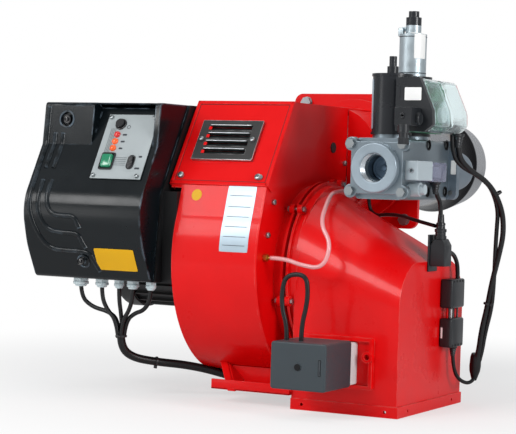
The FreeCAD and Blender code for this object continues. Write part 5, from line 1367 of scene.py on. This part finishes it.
class BURNER_OT_control_panel(BurnerPiece):
    """Finishes the control plate with its button, lamps and rockers"""

    bl_idname = "burner.control_panel"
    bl_label = "Control Panel"

    def make(self, sizes):
        top = PANEL_TOP
        dress(
            control_plate="control plate", reset_button="button black", fault_lamp="lens red",
            run_lamps="lens orange",
        )
        self.rockers(top)
        collar = collar_ring(
            "button_collar", 0.0078, 0.0104, 0.0024, on_panel(-0.237, 0.039, top), "button black"
        )
        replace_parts(collar, "control_bezels")
        lamps = ((0.019, "lens red"), (0.006, "lens orange"), (-0.007, "lens orange"))
        for number, (u, finish) in enumerate(lamps):
            self.lamp(f"lamp_lens_{number}", on_panel(-0.238, u, top), finish)
        for number, x in enumerate((-0.2525, -0.2498, -0.2471, -0.2444)):
            printed_bar(f"link_line_{number}", 0.0006, 0.046, on_panel(x, 0.008, top))
        for number, u in enumerate((-0.0245, -0.0280, -0.0315, -0.0350, -0.0385)):
            printed_bar(f"cross_line_{number}", 0.022, 0.0006, on_panel(-0.216, u, top))
        printed_ring("mark_reset", 0.0034, 0.0009, on_panel(-0.2205, 0.034, top))
        for number, u in enumerate((0.019, 0.006, -0.007)):
            printed_bar(f"mark_lamp_{number}", 0.0082 - number * 0.0006, 0.0032, on_panel(-0.2235, u, top))
        for number, u in enumerate((-0.022, -0.044)):
            printed_bar(f"mark_stage_{number}", 0.0062 + number * 0.003, 0.0034, on_panel(-0.1800, u, top))
        for number, (x, u) in enumerate(
            ((-0.259, -0.059), (-0.175, -0.059), (-0.259, 0.052), (-0.175, 0.052))
        ):
            cross_screw(f"plate_screw_{number}", 0.0072, on_panel(x, u, 0.0034))

    def rockers(self, top):
        """The lit rocker under its glossy lens and the oval stage rocker, in their frames."""
        frame_power = window_frame(
            "power_bezel", (0.0262, 0.0318), 0.0034, (0.0218, 0.0272), 0.0028, 0.0026,
            on_panel(*POWER_PLACE, top),
            "button black",
        )
        lens = slab("power_lens", (0.0204, 0.0236, 0.0090), width=0.0036, segments=6)
        put(lens, on_panel(*POWER_PLACE, top + 0.0020) @ ROCKER_TILT)
        finish_piece(lens, "lens green", "power_key", "power_rocker")
        filler = window_frame(
            "stage_filler", (0.0206, 0.0326), 0.0010, (0.0104, 0.0232), 0.0050, 0.0004,
            on_panel(*STAGE_PLACE, top),
            "control plate",
        )
        ring = window_frame(
            "stage_bezel", (0.0142, 0.0268), 0.0069, (0.0106, 0.0234), 0.0052, 0.0018,
            on_panel(*STAGE_PLACE, top),
            "button black",
        )
        for made in (frame_power, filler, ring):
            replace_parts(made, "control_bezels")
        key = cut_plate(
            "stage_key", rounded_outline(0.0096, 0.0216, 0.0047, 8), 0.0090, Matrix.Identity(4),
            width=0.0016,
        )
        groove = slab("groove", (0.014, 0.0030, 0.0024), (0.0, 0.0, 0.0092), width=0.0)
        apply_modifier(key, "BOOLEAN", object=groove, operation="DIFFERENCE", solver="EXACT")
        bpy.data.objects.remove(groove)
        outward(key)
        put(key, on_panel(*STAGE_PLACE, top - 0.0040) @ ROCKER_TILT)
        finish_piece(key, "button black", "stage_key", "stage_rocker")

    def lamp(self, name, place, finish):
        """A domed lens over a lamp."""
        profile = (
            (0.0, 0.0), (0.0057, 0.0), (0.0057, 0.0010), (0.0053, 0.0024), (0.0043, 0.0037),
            (0.0027, 0.0046), (0.0012, 0.0050), (0.0, 0.0051),
        )
        return spun(name, profile, place, finish, steps=32)


class BURNER_OT_glands(BurnerPiece):
    """Finishes the cable glands and ties the leads"""

    bl_idname = "burner.glands"
    bl_label = "Cable Glands"

    def make(self, sizes):
        places = ((-0.309, 0.0134), (-0.267, 0.0115), (-0.233, 0.0088), (-0.206, 0.0107), (-0.171, 0.0092))
        for number, (x, radius) in enumerate(places):
            self.gland(f"gland_{number}", x, radius)
        cable_tie("lead_tie", (-0.230, -0.4242, -0.3075), (0.0, 0.0, 1.0), 0.0086)
        cable_tie("bundle_tie", (-0.1905, -0.3739, -0.3512), (0.71, 0.69, -0.14), 0.0073)

    def gland(self, name, x, r):
        """A hexagon, a ribbed nut and its rounded end, one under the other."""
        seat = Vector((x, -0.430, PANEL_LOW))
        hexagon = (
            (0.0, 0.0), (r * 0.92, 0.0), (r * 1.04, -0.0010), (r * 1.04, -0.0050), (r * 0.92, -0.0060),
            (0.0, -0.0060)
        )
        nut = (
            (0.0, 0.0), (r * 0.94, 0.0), (r * 0.98, -0.0010), (r * 0.98, -0.0042), (r * 0.90, -0.0052),
            (0.0, -0.0052),
        )
        end = (
            (0.0, 0.0), (r * 0.74, 0.0), (r * 0.74, -0.0018), (r * 0.62, -0.0032), (r * 0.44, -0.0036),
            (0.0, -0.0036),
        )
        parts = [
            turned("hexagon", "Z", seat, hexagon, 6, 10),
            turned("nut", "Z", seat - Vector((0.0, 0.0, 0.0060)), nut, 12, 10),
            turned("end", "Z", seat - Vector((0.0, 0.0, 0.0112)), end, 28),
        ]
        finish_piece(join(name, parts), "gland", replaces="cable_glands")


class BURNER_OT_fan_case(BurnerPiece):
    """Finishes the fan housing, its side panel, front cover and louvre grille"""

    bl_idname = "burner.fan_case"
    bl_label = "Fan Case"

    def make(self, sizes):
        dress(
            fan_housing="red cast", side_panel="red paint", front_cover="red paint", louvre_grille="grille",
            rubber_seals="rubber", cover_screws="zinc",
        )
        # The screw faces in the servo cover's pocket are painted dark as painted shade.
        second_finish(
            NODES["cover_screws"], "recess shade",
            lambda face: face.center.y < -0.4990 and face.center.z < -0.3000
        )
        dress(clamp_bolts="zinc", impeller="fan steel", motor_shaft="inner steel")
        for number, (x, u) in enumerate(((-0.132, 0.016), (0.012, 0.016))):
            cross_screw(f"cover_screw_{number}", 0.0112, on_cover(x, u, 0.0044))
        for number, x in enumerate((-0.113, -0.017)):
            cross_screw(f"grille_screw_{number}", 0.0084, on_cover(x, 0.0847, 0.0102))
        for number, (y, z) in enumerate(((-0.391, -0.075), (-0.409, -0.128), (-0.126, -0.007))):
            cross_screw(f"side_screw_{number}", 0.0096, facing(RIGHT, (0.0334, y, z)))
        self.grille_edges()
        self.louvre_lips()
        thick = sizes.label_thickness
        stuck_on(
            "data_plate", 0.052, 0.106, facing(FRONT, (-0.012, -0.470, -0.1035)), "fan_housing",
            "silver plate", thick, 0.0015,
        )
        stuck_on(
            "round_plate", 0.0185, 0.0185, facing(FRONT, (-0.095, -0.470, -0.067)), "fan_housing",
            "yellow plate", thick, 0.0092, cells=24,
        )
        self.plate_rules(thick)
        self.cover_hem()
        self.foot()

    def cover_hem(self):
        """The folded rim round the front cover, with painted shade along the crease inside it."""
        left, right, low, high = -0.1455, 0.0305, 0.0035, 0.1632
        across, along = (left + right) / 2, (low + high) / 2
        wide, tall = right - left, high - low
        rows = (
            ("hem_left", (0.0066, tall + 0.006, 0.0016), left, along, (0.0009, tall - 0.008), 0.0040, 0.0),
            (
                "hem_right", (0.0066, tall + 0.006, 0.0016), right, along, (0.0009, tall - 0.008), -0.0040,
                0.0,
            ),
            ("hem_low", (wide + 0.006, 0.0066, 0.0016), across, low, (wide - 0.008, 0.0009), 0.0, 0.0040),
            (
                "hem_high", (wide + 0.006, 0.0066, 0.0016), across, high, (wide - 0.008, 0.0009), 0.0,
                -0.0040,
            ),
        )
        for name, size, x, u, crease, aside, above in rows:
            bar = slab(name, size, width=0.0007)
            put(bar, on_cover(x, u, 0.0024))
            finish_piece(bar, "red paint")
            # Painted shade along the crease beside each bar.
            printed_bar(
                f"{name}_crease", crease[0], crease[1], on_cover(x + aside, u + above, 0.0024), "crease shade"
            )

    def foot(self):
        """The foot: an angle plate with a sloped strap up to the housing."""
        left, right, front, rear, low = -0.076, 0.0685, -0.387, -0.150, -0.386
        across, deep = (left + right) / 2, rear - front
        plate = slab(
            "plate", (right - left, deep, 0.003), (across, front + deep / 2, low + 0.0015), width=0.0008
        )
        lip = slab(
            "lip", (right - left, 0.003, 0.0165), (across, front + 0.0015, low + 0.00825), width=0.0008
        )
        parts = [plate, lip]
        parts.append(
            self.leaning((0.0135, 0.0060, 0.0420), (-0.0360, front - 0.0010, low - 0.0010), -0.040, 0.045)
        )
        parts.append(
            self.leaning((0.0030, 0.0400, 0.0400), (-0.0290, front + 0.0200, low + 0.0010), -0.040, 0.045)
        )
        for x in (-0.0140, 0.0240, 0.0600):
            side = ((-0.338, low + 0.002), (rear, low + 0.002), (rear, -0.3620), (-0.3000, -0.3560))
            parts.append(cut_plate("web", side, 0.0040, sideways(x - 0.0040), width=0.0008))
        parts.append(self.shield())
        finish_piece(join("foot_plate", parts), "red paint", replaces="foot_bracket")

    def shield(self):
        """An upright plate that follows the housing's underside, to close the gap above the foot."""
        behind, low = -0.3360, -0.3850
        outline = [(0.0660, low), (-0.0740, low)]
        for step in range(11):
            x = -0.0740 + 0.0100 * step
            place, _ = surface_at(NODES["fan_housing"], (x, behind, -0.5), (0.0, 0.0, 1.0))
            if place.z < -0.3300:
                outline.append((x, place.z + 0.0006))
        return cut_plate("shield", outline, 0.0040, upright(behind))

    def leaning(self, size, base, aside, back):
        """A slab that stands on its base and leans aside and back towards its top."""
        made = slab("leg", size, (base[0], base[1], base[2] + size[2] / 2), width=0.0008)
        for vertex in made.data.vertices:
            share = (vertex.co.z - base[2]) / size[2]
            vertex.co.x += aside * share
            vertex.co.y += back * share
        return made

    def grille_edges(self):
        """Bare metal along the grille's cut edges."""
        left, right, low, high = -0.1212, -0.0088, 0.0465, 0.1229
        for name, size, x, u in (
            ("grille_edge_low", (right - left, 0.0009, 0.0050), (left + right) / 2, low - 0.0002),
            ("grille_edge_right", (0.0009, high - low, 0.0050), right + 0.0002, (low + high) / 2),
            ("grille_edge_high", (right - left, 0.0009, 0.0050), (left + right) / 2, high + 0.0002),
            ("grille_edge_left", (0.0009, high - low, 0.0050), left - 0.0002, (low + high) / 2),
        ):
            edge = slab(name, size, width=0.0003, segments=2)
            put(edge, on_cover(x, u, 0.0053))
            finish_piece(edge, "silver trim")

    def louvre_lips(self):
        """Lips of the louvres: a bright rolled edge on each, red paint at its left end."""
        for number in range(4):
            u = 0.0613 + number * 0.0155
            lip = wire(
                f"louvre_lip_{number}", ((-0.1030, 0.0, 0.0), (-0.0650, 0.0, 0.0), (-0.0270, 0.0, 0.0)),
                0.0022,
            )
            lip = as_mesh(lip)
            put(lip, on_cover(0.0, u + 0.0045, 0.0104))
            finish_piece(lip, "silver trim")
            end = slab(f"louvre_end_{number}", (0.0055, 0.0060, 0.0022), width=0.0006)
            put(end, on_cover(-0.1035, u - 0.0010, 0.0086))
            finish_piece(end, "red paint")

    def plate_rules(self, thick):
        """Bare ruled fields of the data plate, without words."""
        for number, z in enumerate((-0.066, -0.084, -0.100, -0.116, -0.132, -0.146)):
            stuck_on(
                f"plate_rule_{number}", 0.040, 0.0006, facing(FRONT, (-0.012, -0.470, z)), "fan_housing",
                "dark print and groove shade", thick * 2.4, 0.0, cells=8,
            )


class BURNER_OT_air_box(BurnerPiece):
    """Finishes the air box, its damper and the air pressure switch"""

    bl_idname = "burner.air_box"
    bl_label = "Air Box"

    def make(self, sizes):
        dress(
            air_box="red cast", damper_flap="inner steel", damper_shaft="turned alloy",
            damper_bushes="bronze", air_pressure_switch="black plastic", hose_nipple="brass",
        )


class BURNER_OT_servo(BurnerPiece):
    """Finishes the damper servomotor"""

    bl_idname = "burner.servo"
    bl_label = "Damper Servomotor"

    def make(self, sizes):
        dress(servo_base="servo base", servo_cover="servo cover")
        front = -0.4981
        slot_x, slot_z = 0.17475, -0.325
        # The slot is painted near-black as painted shade, with a face of painted shade and a printed
        # pointer in it.
        printed_bar("servo_slot", 0.0046, 0.026, facing(FRONT, (slot_x, front, slot_z)), "recess shade")
        printed_bar(
            "servo_slot_face", 0.0028, 0.0236, facing(FRONT, (slot_x, front - 0.0002, slot_z)),
            "servo shade"
        )
        pointer = facing(FRONT, (slot_x, front - 0.0004, slot_z - 0.007))
        printed_bar("servo_pointer", 0.0014, 0.005, pointer)


class BURNER_OT_head(BurnerPiece):
    """Finishes the flange, its bolts, the blast tube and the parts inside it"""

    bl_idname = "burner.head"
    bl_label = "Combustion Head"

    def make(self, sizes):
        dress(
            flange_plate="red cast", flange_gasket="gasket", mounting_bolts="zinc", blast_tube="stainless",
            gas_head_pipe="inner steel", flame_disc="inner steel", electrodes="ceramic",
            burner_controller="controller", ignition_transformer="transformer", terminal_strip="gland",
        )


class BURNER_OT_gas_train(BurnerPiece):
    """Finishes the gas valve with its inlet, coils and hydraulic brake"""

    bl_idname = "burner.gas_train"
    bl_label = "Gas Train"

    def make(self, sizes):
        flange = rounded_copy("inlet_flange", "gas_flange", (
            (self.inlet_rim, 0.0022, 4),
            (self.ear_rim, 0.0024, 3),
        ))
        finish_piece(flange, "inlet", replaces="inlet_flange")
        reach = flange.data.vertices
        second_finish(
            flange, "die-cast", lambda face: min(reach[number].co.y for number in face.vertices) > -0.4168
        )
        dress(
            valve_block="die-cast", valve_coils="coil black", coil_adjuster="coil black",
            hydraulic_brake="brake alloy", brake_cap="coil black", gas_elbow="cast alloy",
        )
        self.thread(sizes)
        self.valve_disc()
        self.coil_label()
        self.brake_details()
        self.recess_cups()
        plate = facing(FRONT, (0.2712, -0.2142, -0.0100))
        printed_bar("elbow_plate", 0.0090, 0.0230, plate, "white plate")

    def inlet_rim(self, first, second):
        return all(v.y < -0.4255 for v in (first, second))

    def ear_rim(self, first, second):
        far = all(abs(v.y + 0.4140) < 0.0003 for v in (first, second))
        round_axis = Vector((GAS_AXIS_X, GAS_AXIS_Z))
        outside = all((Vector((v.x, v.z)) - round_axis).length > 0.0405 for v in (first, second))
        bolt = all(self.near_bolt(v) for v in (first, second))
        return far and outside and not bolt

    def near_bolt(self, at):
        for x in (-0.044, 0.044):
            for z in (-0.037, 0.037):
                if math.hypot(at.x - GAS_AXIS_X - x, at.z - GAS_AXIS_Z - z) < 0.006:
                    return True
        return False

    def recess_cups(self):
        """Near-black rings in the round recesses on the block's side, as painted shade."""
        places = ((-0.301, 0.024), (-0.301, -0.051), (-0.226, 0.026), (-0.226, -0.050))
        for number, (y, z) in enumerate(places):
            profile = (
                (0.0046, 0.0), (0.0069, 0.0), (0.0069, 0.0044), (0.0084, 0.0044), (0.0084, 0.0050),
                (0.0064, 0.0050), (0.0064, 0.0004), (0.0046, 0.0004), (0.0046, 0.0),
            )
            spun(f"recess_cup_{number}", profile, facing(RIGHT, (0.2581, y, z)), "recess shade", steps=32)

    def thread(self, sizes):
        """The turns of the inlet's thread, as fine rings inside its bore."""
        bore = 0.0225
        for number in range(7):
            y = -0.4235 + number * sizes.thread_pitch
            profile = (
                (bore, -0.0009), (bore - 0.0010, 0.0), (bore, 0.0009), (bore + 0.0006, 0.0), (bore, -0.0009)
            )
            ring = turned(f"inlet_thread_{number}", "Y", (GAS_AXIS_X, y, GAS_AXIS_Z), profile, 56)
            finish_piece(ring, "turned alloy")

    def valve_disc(self):
        """The valve's disc and its boss, seen through the inlet."""
        r = 0.0197
        profile = (
            (0.0, 0.0), (r, 0.0), (r, 0.0030), (r * 0.93, 0.0044), (r * 0.80, 0.0044), (r * 0.74, 0.0034),
            (r * 0.30, 0.0034), (r * 0.26, 0.0064), (r * 0.12, 0.0070), (0.0, 0.0070),
        )
        spun(
            "valve_disc", profile, facing(FRONT, (GAS_AXIS_X, -0.3800, GAS_AXIS_Z)), "valve disc", steps=48
        )

    def coil_label(self):
        place = facing((-0.80, -0.60, 0.0), (GAS_AXIS_X - 0.060, -0.400, 0.086))
        stuck_on("coil_plate", 0.020, 0.078, place, "valve_coils", "silver plate", 0.0005, 0.0010)

    def brake_details(self):
        place = facing((0.84, -0.543, 0.0), (GAS_AXIS_X + 0.044, -0.312, 0.184))
        stuck_on("brake_plate", 0.021, 0.042, place, "hydraulic_brake", "white plate", 0.0004, 0.0010)
        # Dark rings in the brake body's two grooves: painted shade.
        for number, z in enumerate((0.140, 0.1985)):
            profile = ((0.0222, -0.0007), (0.0226, 0.0), (0.0222, 0.0007), (0.0216, 0.0), (0.0222, -0.0007))
            ring = turned(f"brake_groove_shade_{number}", "Z", (GAS_AXIS_X, -0.283, z), profile, 48)
            finish_piece(ring, "dark print and groove shade")
        finish_piece(
            slab("brake_lug", (0.008, 0.010, 0.014), (0.2040, -0.2900, 0.2060), width=0.0012), "brake alloy"
        )


class BURNER_OT_switches(BurnerPiece):
    """Finishes the pressure switches, their hoods, dials and plugs"""

    bl_idname = "burner.switches"
    bl_label = "Pressure Switches"

    def make(self, sizes):
        cover = rounded_copy("terminal_box", "terminal_cover", ((self.front_rim, 0.0022, 4),))
        finish_piece(cover, "black plastic", replaces="terminal_box")
        dress(dial_min="dial", dial_max="dial", switch_bases="switch green")
        plug = rounded_copy("coil_plug", "coil_socket", ((self.plug_rim, 0.0016, 3),))
        finish_piece(plug, "black plastic", replaces="coil_plug")
        plug = rounded_copy("pilot_plug", "pilot_socket", ((self.plug_rim, 0.0022, 3),))
        finish_piece(plug, "pale plug", replaces="pilot_plug")
        self.hood("hood_front", -0.3932)
        self.hood("hood_rear", -0.3192)
        finish_piece(
            slab(
                "plug_rear", (0.0252, 0.0560, 0.0310), (0.2748, -0.3098, -0.0190), width=0.0034, segments=4
            ),
            "violet hood", replaces="switch_hoods",
        )
        finish_piece(
            slab("plug_core", (0.0130, 0.0400, 0.0190), (0.2700, -0.3100, -0.0190), width=0.0020),
            "grey plastic",
        )
        cap = (
            (0.0, 0.0), (0.0094, 0.0), (0.0094, 0.0052), (0.0084, 0.0064), (0.0074, 0.0064),
            (0.0070, 0.0054), (0.0, 0.0054),
        )
        disc = turned("socket_cap", "Z", (0.0, 0.0, 0.0), cap, 40)
        put(disc, facing(RIGHT, (0.2898, -0.4180, 0.0620)))
        finish_piece(disc, "black plastic")
        for number, y in enumerate(DIAL_PLACES):
            finish_piece(
                slab(f"switch_board_{number}", (0.0060, 0.050, 0.0150), (0.2690, y, 0.1080), width=0.0010),
                "switch green",
            )
        plate = facing(FRONT, (0.2760, -0.4044, 0.1010))
        printed_bar("terminal_plate", 0.028, 0.020, plate, "white plate")
        for number, (y, body) in enumerate(zip(DIAL_PLACES, ("min_dial", "max_dial"))):
            for tick in range(12):
                angle = math.radians(tick * 30)
                centre = Vector((0.2803, y + 0.0125 * math.cos(angle), 0.073 + 0.0125 * math.sin(angle)))
                place = facing(RIGHT, centre) @ Matrix.Rotation(-angle, 4, "Z")
                printed_bar(f"dial_tick_{number}_{tick}", 0.0008, 0.0026, place, "dark print and groove shade", body)
        for number, (y, z) in enumerate(((-0.4425, 0.066), (-0.4004, -0.0175))):
            finish = "coil black" if number == 0 else "grey plastic"
            collar_ring(
                f"plug_screw_rim_{number}", 0.0024, 0.0042, 0.0008, facing(FRONT, (0.2755, y, z)), finish
            )

    def front_rim(self, first, second):
        return all(v.y < -0.4038 for v in (first, second)) and (first - second).length > 0.0008

    def plug_rim(self, first, second):
        return (first - second).length > 0.012

    def hood(self, name, front):
        """A clear hollow hood with rounded edges."""
        reach = 0.0690
        outline = (
            (0.2630, 0.0435), (0.2955, 0.0435), (0.3092, 0.0540), (0.3082, 0.0765), (0.2862, 0.1262),
            (0.2630, 0.1262)
        )
        made = cut_plate(name, outline, reach, upright(front + reach), width=0.0)
        soften(made, 0.0050, 5, 20)
        outward(made, 50)
        apply_modifier(made, "SOLIDIFY", thickness=0.0016, offset=-1.0)
        finish_piece(made, "hood", replaces="switch_hoods")


class BURNER_OT_plugs(BurnerPiece):
    """Finishes the plug box, the connectors and the ties of the harness"""

    bl_idname = "burner.plugs"
    bl_label = "Plugs and Connectors"

    def make(self, sizes):
        self.plug_box()
        self.connector_pair()
        # The connectors' slots are painted near-black as painted shade.
        for number, low in enumerate((-0.1975, -0.3035)):
            for slot in range(4):
                at = (0.2762, -0.2060 + slot * 0.0130, low)
                printed_bar(
                    f"connector_slot_{number}_{slot}", 0.0048, 0.0040, facing(RIGHT, at), "recess shade"
                )
        self.harness_sleeve()
        lead_boot("pilot_boot", (0.2690, -0.2840, -0.0342), 0.0086, 0.0042, 0.020)
        lead_boot("hood_boot", (0.2960, -0.2620, 0.0438), 0.0105, 0.0056, 0.022)
        lead_boot("connector_boot", (0.2660, -0.1780, -0.3068), 0.0070, 0.0040, 0.016)
        cable_tie("harness_tie_high", (0.3345, -0.1720, -0.0500), (0.35, 0.45, -0.80), 0.0052)
        cable_tie("harness_tie_low", (0.3120, -0.1460, -0.2350), (-0.2, 0.0, -1.0), 0.0052)

    def connector_pair(self):
        """The two connector shells, the pins between them and a bare strip."""
        for number, z in enumerate((-0.2180, -0.2830)):
            finish_piece(
                slab(
                    f"connector_{number}", (0.0220, 0.0560, 0.0480), (0.2650, -0.1850, z), width=0.0036,
                    segments=4,
                ),
                "black plastic", replaces="connectors",
            )
        finishes = ("button black", "red paint", "button black", "white plate", "button black", "red paint")
        for number, finish in enumerate(finishes):
            x = 0.2620 if number % 2 else 0.2690
            rod = slab(
                f"connector_pin_{number}", (0.0026, 0.0034, 0.0200),
                (x, -0.2070 + number * 0.0088, -0.2505), width=0.0006,
            )
            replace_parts(finish_piece(rod, finish), "connectors")
        printed_bar(
            "connector_strip", 0.0030, 0.0180, facing(FRONT, (0.2590, -0.2131, -0.2830)), "white plate"
        )

    def harness_sleeve(self):
        """A tapered sleeve where the harness takes in the connector's lead."""
        profile = (
            (0.0, -0.022), (0.0076, -0.022), (0.0092, -0.016), (0.0098, 0.0), (0.0090, 0.008),
            (0.0060, 0.018), (0.0042, 0.024), (0.0, 0.024),
        )
        spun(
            "harness_sleeve", profile, facing((-0.10, 0.12, -1.0), (0.2900, -0.1352, -0.3420)),
            "cable sheath", steps=32, smooth=50,
        )

    def plug_box(self):
        """The plug box with sloped shoulders, its ribbed boot and its back plate."""
        outline = (
            (0.2568, -0.1710), (0.2830, -0.1710), (0.2830, -0.1370), (0.2770, -0.1265), (0.2640, -0.1265),
            (0.2568, -0.1370)
        )
        shell = cut_plate("plug_shell", outline, 0.0300, upright(-0.2400), width=0.0)
        soften(shell, 0.0014, 3, 20)
        finish_piece(outward(shell), "black plastic")
        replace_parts(shell, "plug_box")
        profile = (
            (0.0, 0.0), (0.0100, 0.0), (0.0100, 0.0050), (0.0086, 0.0058), (0.0086, 0.0110),
            (0.0098, 0.0118), (0.0098, 0.0160), (0.0074, 0.0170), (0.0070, 0.0220), (0.0078, 0.0228),
            (0.0074, 0.0260), (0.0058, 0.0268), (0.0048, 0.0400), (0.0, 0.0400),
        )
        boot = turned("plug_boot", "Z", (0.2690, -0.2560, -0.1268), profile, 28, 40)
        finish_piece(boot, "black plastic", replaces="plug_box")
        finish_piece(
            slab("plug_back", (0.0032, 0.0360, 0.0600), (0.2556, -0.2550, -0.1500), width=0.0008),
            "black plastic", replaces="plug_box",
        )


class BURNER_OT_motor(BurnerPiece):
    """Finishes the fan motor"""

    bl_idname = "burner.motor"
    bl_label = "Fan Motor"

    def make(self, sizes):
        dress(motor_body="motor black", motor_fan_cover="motor black")


class BURNER_PT_pieces(bpy.types.Panel):
    """Lists the burner's sizes, colours and pieces"""

    bl_idname = "BURNER_PT_pieces"
    bl_label = "Gas Burner"
    bl_space_type = "VIEW_3D"
    bl_region_type = "UI"
    bl_category = "Burner"

    def draw(self, context):
        layout = self.layout
        for group in (context.scene.burner_sizes, context.scene.burner_colours):
            box = layout.box()
            for name in group.bl_rna.properties.keys():
                if name not in ("rna_type", "name"):
                    box.prop(group, name)
        for operator in OPERATORS:
            layout.operator(operator.bl_idname)


OPERATORS = (
    BURNER_OT_camera,
    BURNER_OT_cords,
    BURNER_OT_control_box,
    BURNER_OT_control_panel,
    BURNER_OT_glands,
    BURNER_OT_fan_case,
    BURNER_OT_air_box,
    BURNER_OT_servo,
    BURNER_OT_head,
    BURNER_OT_gas_train,
    BURNER_OT_switches,
    BURNER_OT_plugs,
    BURNER_OT_motor,
    BURNER_OT_stage,
)
CLASSES = (BurnerSizes, BurnerColours) + OPERATORS + (BURNER_PT_pieces,)


def register():
    for item in CLASSES:
        bpy.utils.register_class(item)
    bpy.types.Scene.burner_sizes = bpy.props.PointerProperty(type=BurnerSizes)
    bpy.types.Scene.burner_colours = bpy.props.PointerProperty(type=BurnerColours)


def unregister():
    del bpy.types.Scene.burner_colours
    del bpy.types.Scene.burner_sizes
    for item in reversed(CLASSES):
        bpy.utils.unregister_class(item)


def main():
    register()
    bpy.ops.burner.camera()
    bpy.ops.burner.cords()
    bpy.ops.burner.control_box()
    bpy.ops.burner.control_panel()
    bpy.ops.burner.glands()
    bpy.ops.burner.fan_case()
    bpy.ops.burner.air_box()
    bpy.ops.burner.servo()
    bpy.ops.burner.head()
    bpy.ops.burner.gas_train()
    bpy.ops.burner.switches()
    bpy.ops.burner.plugs()
    bpy.ops.burner.motor()
    bpy.ops.burner.stage()
    clear_selection()


if __name__ == "__main__":
    main()
